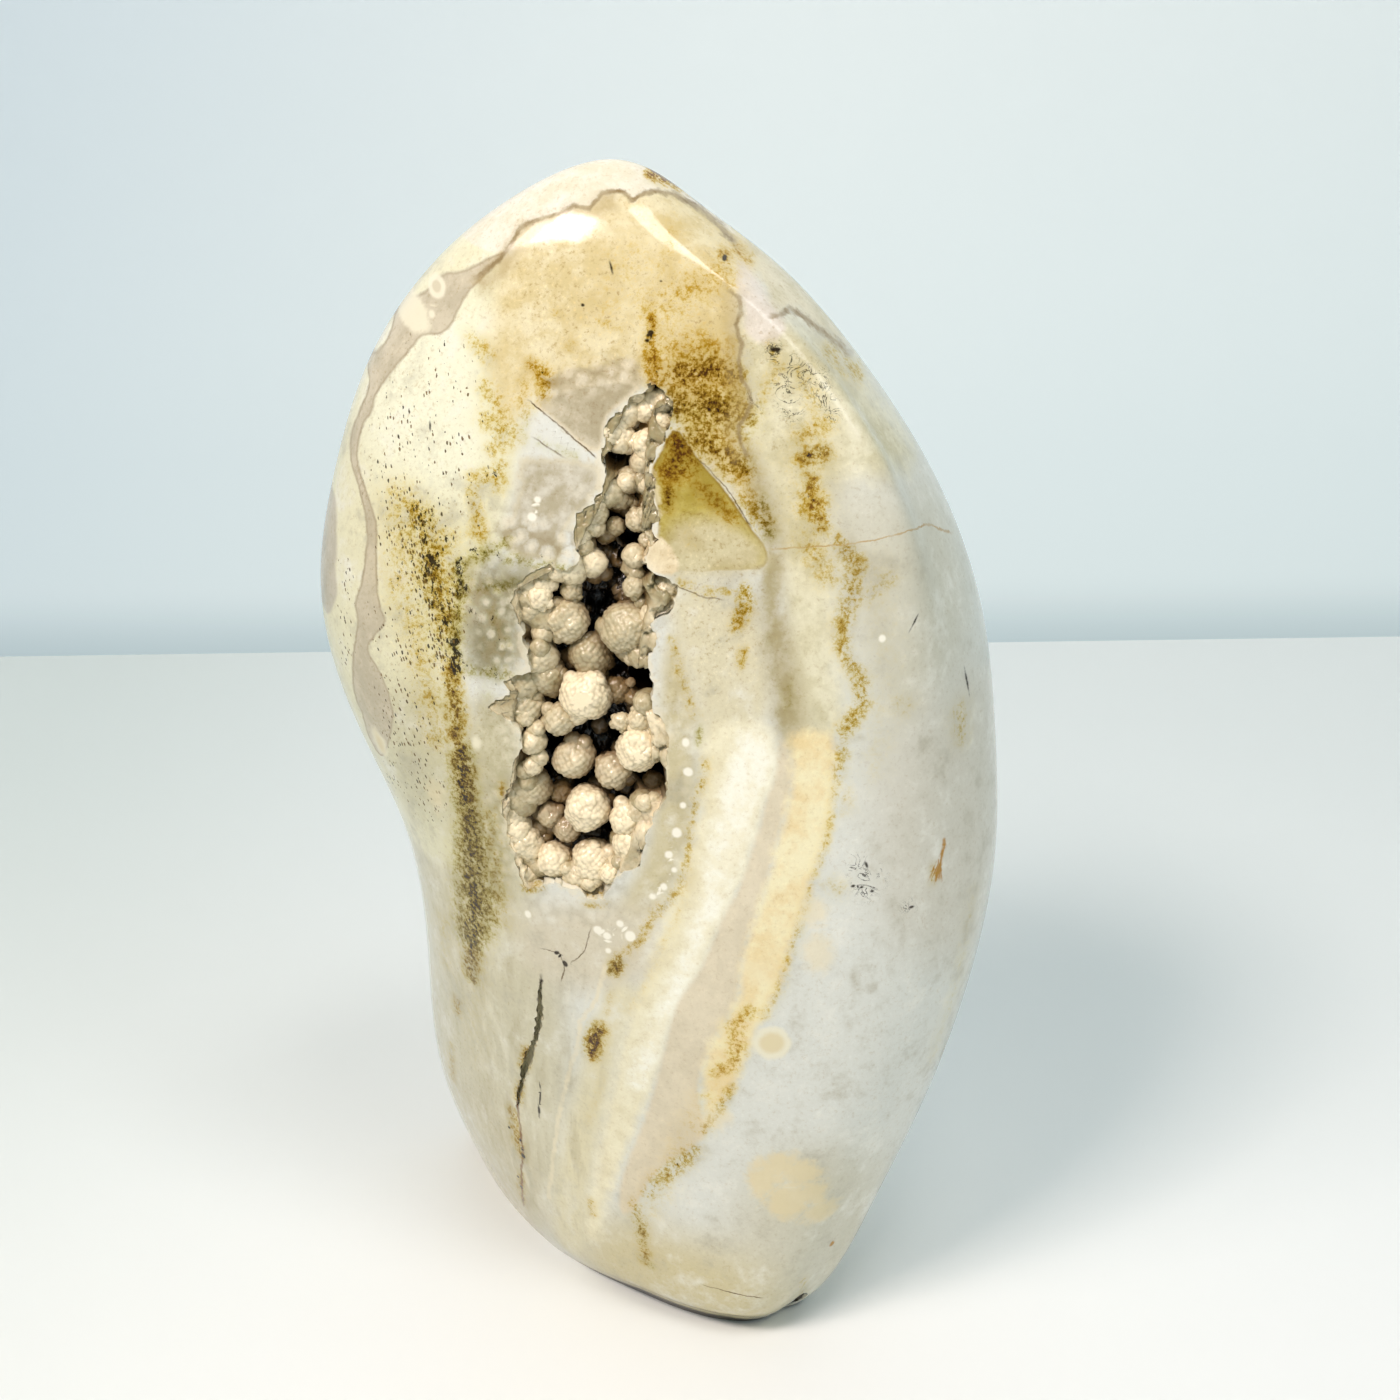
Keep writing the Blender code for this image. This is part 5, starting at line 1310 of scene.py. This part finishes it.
back_share = np.array(BACK_SHARES)[:, None, None]
back_flat = np.array(LINING_MIDDLE) + back_share * (lining_edge - np.array(LINING_MIDDLE))
back_y = face_y(back_flat[..., 0], back_flat[..., 1]) + LINING_BACK
back_rings = np.stack([back_flat[..., 0], back_y, back_flat[..., 1]], axis=-1)
centre_y = face_y(np.array([LINING_MIDDLE[0]]), np.array([LINING_MIDDLE[1]]))[0]
poles = np.array((
    (LINING_MIDDLE[0], lining[0, :, 1].mean(), LINING_MIDDLE[1]),
    (LINING_MIDDLE[0], centre_y + LINING_BACK, LINING_MIDDLE[1]),
))
rings = np.concatenate([lining, back_rings])
points = np.concatenate([rings.reshape(-1, 3), poles]) * MM
around = np.arange(LINING_AROUND)
following = (around + 1) % LINING_AROUND
last_row = (len(rings) - 1) * LINING_AROUND
front_pole = np.full(LINING_AROUND, len(points) - 2)
front_fan = np.stack([following, around, front_pole], -1)
back_fan = np.stack([last_row + around, last_row + following, front_pole + 1], -1)
faces = grid_faces(len(rings), LINING_AROUND).tolist() + front_fan.tolist() + back_fan.tolist()
lining_mesh = bpy.data.meshes.new("crystal_lining")
lining_mesh.from_pydata(points.tolist(), [], faces)
facing_out(lining_mesh)
lining_mesh.shade_smooth()


def store_on(mesh, name, values):
    """Keeps one number a vertex on the mesh, for its material to read."""
    layer = mesh.attributes.new(name, "FLOAT", "POINT")
    layer.data.foreach_set("value", np.asarray(values, np.float32).ravel())


# Painted shade: the lining's back is given a depth of 9, which colours it near black.
back_count = len(points) - lining_depth.size
store_on(lining_mesh, "sunk", np.concatenate([lining_depth.ravel() + 1.0, np.full(back_count, 9.0)]))
store_on(lining_mesh, "tip", np.concatenate([points_out.ravel(), np.zeros(back_count)]))
tone = 0.45 + 0.25 * waves(lining, 6.0, 71) - 0.015 * (lining_height - 86.0)
store_on(lining_mesh, "tone", np.concatenate([tone.ravel(), np.zeros(back_count)]))


DULL_QUARTZ = (164, 153, 116)
BRIGHT_QUARTZ = (250, 235, 200)
# Painted shade: darker between the crystal points, then brown and near black the deeper it lies.
SHADE_BETWEEN_TIPS = (142, 114, 62)
DEPTH_SHADE_BROWN = (120, 86, 42)
DEPTH_SHADE_BLACK = (16, 9, 3)


def crystal_finish(name):
    """Quartz druse, grey to cream by tone, with painted shade: darker between tips, brown to black deep."""
    material, tree, shader, place = new_material(name)

    def read(attribute):
        return add(tree, "ShaderNodeAttribute", attribute_name=attribute).outputs["Fac"]

    patchy = noise(tree, place, 1.6, 4.0, 0.6)
    fine = noise(tree, place, 0.25, 2.0, 0.6)
    tone = maths(tree, "MULTIPLY_ADD", patchy, 0.7, read("tone"))
    colour = mixed(tree, smooth_step(tree, tone, 0.1, 0.9), paint(*DULL_QUARTZ), paint(*BRIGHT_QUARTZ))
    tips = smooth_step(tree, maths(tree, "MULTIPLY_ADD", fine, 0.5, read("tip")), 0.15, 0.7)
    # Painted shade between the crystal points, and brown then near black by depth.
    between = maths(tree, "MULTIPLY", maths(tree, "SUBTRACT", 1.0, tips), 0.3)
    colour = mixed(tree, between, colour, paint(*SHADE_BETWEEN_TIPS))
    sunk = maths(tree, "MULTIPLY_ADD", patchy, 2.4, read("sunk"))
    brown_shade = maths(tree, "MULTIPLY", smooth_step(tree, sunk, 0.9, 4.6), 0.8)
    colour = mixed(tree, brown_shade, colour, paint(*DEPTH_SHADE_BROWN))
    colour = mixed(tree, smooth_step(tree, sunk, 4.2, 6.4), colour, paint(*DEPTH_SHADE_BLACK))
    tree.links.new(colour, shader.inputs["Base Color"])
    shader.inputs["Roughness"].default_value = 0.13
    shader.inputs["IOR"].default_value = QUARTZ_IOR
    bump = add(tree, "ShaderNodeBump", {"Height": fine, "Strength": 0.5, "Distance": 0.00012})
    tree.links.new(bump.outputs[0], shader.inputs["Normal"])
    return material


crystal_crust = crystal_finish("crystal crust")
lining_piece = link_object("crystal_lining", lining_mesh, crystal_crust)
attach(lining_piece, "root")
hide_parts("crystal_crust")


# Crystal balls. Rounded bunches of quartz grown out from the lining, each covered in small points. A
# few reach the polished face and were cut flat with it.
# Each row is x, height, diameter, how far its near side lies below the face, and its tone, from 0 for
# grey to 1 for bright cream.
BALLS = np.array((
    (-4.0, 112.5, 3.5, 1.2, 0.85), (-1.0, 112.0, 3.5, 0.8, 0.8), (-0.5, 116.0, 2.6, 2.0, 0.3),
    (-3.0, 108.0, 3.3, 1.8, 0.45), (-4.0, 106.0, 2.6, 2.2, 0.4), (-2.0, 104.0, 2.8, 1.4, 0.5),
    (-7.5, 103.5, 2.6, 0.8, 0.5), (-4.5, 103.0, 2.2, 2.4, 0.35), (-13.0, 95.5, 2.9, 0.3, 1.1),
    (-10.0, 92.5, 4.9, 0.9, 0.5), (-9.5, 96.0, 2.6, 1.8, 0.45), (-2.5, 97.0, 2.6, 1.2, 0.5),
    (1.0, 97.0, 2.6, 0.7, 0.55), (-3.2, 92.0, 6.2, 0.5, 0.45), (-7.5, 88.6, 5.0, 2.0, 0.4),
    (-12.5, 86.0, 4.7, 1.5, 0.35), (-8.0, 84.5, 5.8, 0.1, 1.15), (-15.0, 82.5, 4.3, 0.9, 0.45),
    (-11.0, 81.5, 3.7, 1.0, 0.55), (-4.5, 84.5, 3.2, 3.4, 0.3), (-2.0, 82.5, 2.7, 0.9, 0.65),
    (-4.0, 82.0, 2.2, 1.4, 0.6), (-2.0, 79.0, 5.2, 0.1, 1.1), (-9.5, 76.5, 5.0, 1.7, 0.6),
    (-5.0, 75.5, 4.3, 2.0, 0.65), (-14.5, 72.5, 4.6, 1.5, 0.5), (-11.0, 71.5, 3.2, 4.0, 0.3),
    (-8.0, 71.0, 5.4, 0.6, 0.95), (-3.5, 70.5, 4.0, 0.7, 0.95), (-3.0, 67.5, 4.4, 0.5, 1.0),
    (-7.5, 64.5, 5.2, 0.6, 0.95), (-12.5, 69.0, 3.2, 2.6, 0.55), (-10.5, 67.5, 3.2, 2.6, 0.6),
    (-15.5, 65.5, 4.6, 0.6, 0.7), (-12.0, 64.0, 4.2, 0.6, 0.8), (-0.5, 74.0, 2.7, 4.0, 0.3),
    (-1.0, 107.5, 2.0, 1.6, 0.5), (-1.0, 102.0, 2.0, 1.6, 0.55), (-5.5, 64.0, 2.5, 0.3, 0.9),
))
# How far apart the points of the balls' meshes lie, and the crystals on them, and how high those rise.
BALL_STEP = 0.172
BUD_STEP = 0.3
CRYSTAL_SPACING = 0.6
CRYSTAL_HEIGHT = 0.22
CUT_DEPTH = 0.12
SIDE_BALLS = 3
BUDS = 230
RIM_BUDS = 124


def spiral_directions(count, dice):
    """Unit vectors spread evenly over a sphere along a golden spiral, each nudged a little at random."""
    number = np.arange(count) + 0.5
    up = 1 - 2 * number / count
    turn = number * math.pi * (3 - math.sqrt(5))
    flat = np.sqrt(1 - up**2)
    made = np.stack([flat * np.cos(turn), flat * np.sin(turn), up], axis=1)
    made += dice.normal(scale=0.5 / math.sqrt(count), size=made.shape)
    return made / np.linalg.norm(made, axis=1, keepdims=True)


def crystal_ball(centre, radius, step, dice):
    """A closed ball with a blunt point at each crystal: its points, quads, triangles and tip heights.

    The radius is the ball's own plus a height that falls off with the distance to the nearest crystal's
    axis, in a line near the tip and steeper further out. Its poles lie along y.
    """
    columns = max(14, int(2 * math.pi * radius / step))
    rows = max(7, columns // 2)
    rise = np.linspace(-math.pi / 2, math.pi / 2, rows + 2)[1:-1, None]
    turn = np.linspace(0.0, 2 * math.pi, columns, endpoint=False)
    unit = [np.cos(rise) * np.cos(turn), np.sin(rise) + 0 * turn, np.cos(rise) * np.sin(turn)]
    unit = np.stack(unit, axis=-1).reshape(-1, 3)
    unit = np.concatenate([unit, np.array(((0.0, -1.0, 0.0), (0.0, 1.0, 0.0)))])
    smaller = min(1.0, 0.5 + 0.25 * radius)
    spacing = CRYSTAL_SPACING * smaller
    crystals = spiral_directions(max(14, int(4 * math.pi * radius**2 / spacing**2)), dice)
    tall = dice.uniform(0.7, 1.2, len(crystals))
    across = np.arccos(np.clip(unit @ crystals.T, -1.0, 1.0)) * radius / spacing
    height = (tall - 0.55 * across - 1.1 * across**2).max(axis=1)
    lumpy = 1.0 + 0.05 * waves(unit + centre, 1.1, 80)
    reach = radius * lumpy + CRYSTAL_HEIGHT * smaller * (height - 0.6)
    points = centre + unit * reach[:, None]
    around = np.arange(columns)
    following = (around + 1) % columns
    south = np.stack([around, following, np.full(columns, rows * columns)], -1)
    top = (rows - 1) * columns
    north = np.stack([top + following, top + around, np.full(columns, rows * columns + 1)], -1)
    quads = grid_faces(rows, columns)[:, ::-1]
    return points, quads, np.concatenate([south, north]), np.clip(height, 0.0, 1.0)


def bunch(name, rows, step, dice):
    """One piece made of all the balls in the rows, with whatever would stand out of the stone cut flat."""
    parts, faces, tips, tones = [], [], [], []
    count = 0
    for x, height, diameter, near_depth, tone in rows:
        radius = diameter / 2
        face = face_y(np.array([x]), np.array([height]))[0]
        centre = np.array((x, face + near_depth + radius, height))
        points, quads, triangles, tip = crystal_ball(centre, radius, step, dice)
        parts.append(points)
        faces += (quads + count).tolist() + (triangles + count).tolist()
        tips.append(tip)
        tones.append(np.full(len(points), tone))
        count += len(points)
    points, tips, tones = np.concatenate(parts), np.concatenate(tips), np.concatenate(tones)
    nearest_allowed = face_y(points[:, 0], points[:, 2]) + CUT_DEPTH
    cut_flat = points[:, 1] < nearest_allowed
    points[:, 1] = np.maximum(points[:, 1], nearest_allowed)
    mesh = bpy.data.meshes.new(name)
    mesh.from_pydata((points * MM).tolist(), [], faces)
    facing_out(mesh)
    mesh.shade_smooth()
    store_on(mesh, "sunk", points[:, 1] - nearest_allowed)
    store_on(mesh, "tip", np.where(cut_flat, 1.0, tips))
    store_on(mesh, "tone", tones + np.where(cut_flat, 0.4, 0.0))
    piece = link_object(name, mesh, crystal_crust)
    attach(piece, "root")
    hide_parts("crystal_crust")


def in_a_hole(x, height):
    """Whether the place lies in one of the deep holes."""
    return any(math.hypot(x - hole_x, height - hole_z) < radius for hole_x, hole_z, radius, _ in HOLES)


dice = np.random.default_rng(9)
side_balls = []
for x, height, diameter, near_depth, tone in BALLS:
    for turn in dice.uniform(0.0, 2 * math.pi, SIDE_BALLS):
        away = diameter * dice.uniform(0.34, 0.46)
        side_x, side_height = x + away * math.cos(turn), height + away * math.sin(turn)
        if not in_a_hole(side_x, side_height):
            size = diameter * dice.uniform(0.3, 0.5)
            side_balls.append((side_x, side_height, size, near_depth + 0.25 * diameter, tone - 0.1))
bunch("crystal_balls", BALLS, BALL_STEP, dice)

# Buds. Smaller balls between the large ones, beside them, and all along the edge of the cave.
bud_rows = side_balls
while len(bud_rows) < BUDS:
    x, height = dice.uniform(-18.0, 2.0), dice.uniform(60.5, 118.5)
    left = np.interp(height, HOLLOW[:, 0], HOLLOW[:, 1])
    right = np.interp(height, HOLLOW[:, 0], HOLLOW[:, 2])
    if left < x < right and not in_a_hole(x, height):
        floor = hollow_depth(np.array([x]), np.array([height]))[0]
        size = dice.uniform(1.2, 2.6)
        bud_rows.append((x, height, size, max(0.5, floor - 0.8 * size), dice.uniform(0.2, 0.65)))
spots = resampled(MOUTH, RIM_BUDS, True)
edge_lines = np.roll(spots, -1, axis=0) - np.roll(spots, 1, axis=0)
edge_normals = np.stack([edge_lines[:, 1], -edge_lines[:, 0]], axis=1)
edge_normals /= np.linalg.norm(edge_normals, axis=1, keepdims=True)
for (x, height), (right, up) in zip(spots, edge_normals):
    on_left = right > 0.3
    inset = dice.uniform(0.3, 2.6) if on_left else dice.uniform(0.4, 1.4)
    x, height = x + inset * right, height + inset * up
    if not in_a_hole(x, height):
        sunk = dice.uniform(0.1, 0.7) + 0.3 * inset + (0.5 if right < -0.3 else 0.0)
        size = dice.uniform(2.0, 4.4) if on_left else dice.uniform(1.4, 3.2)
        bud_rows.append((x, height, size, sunk, dice.uniform(0.3, 0.8)))
bunch("crystal_buds", np.array(bud_rows), BUD_STEP, dice)
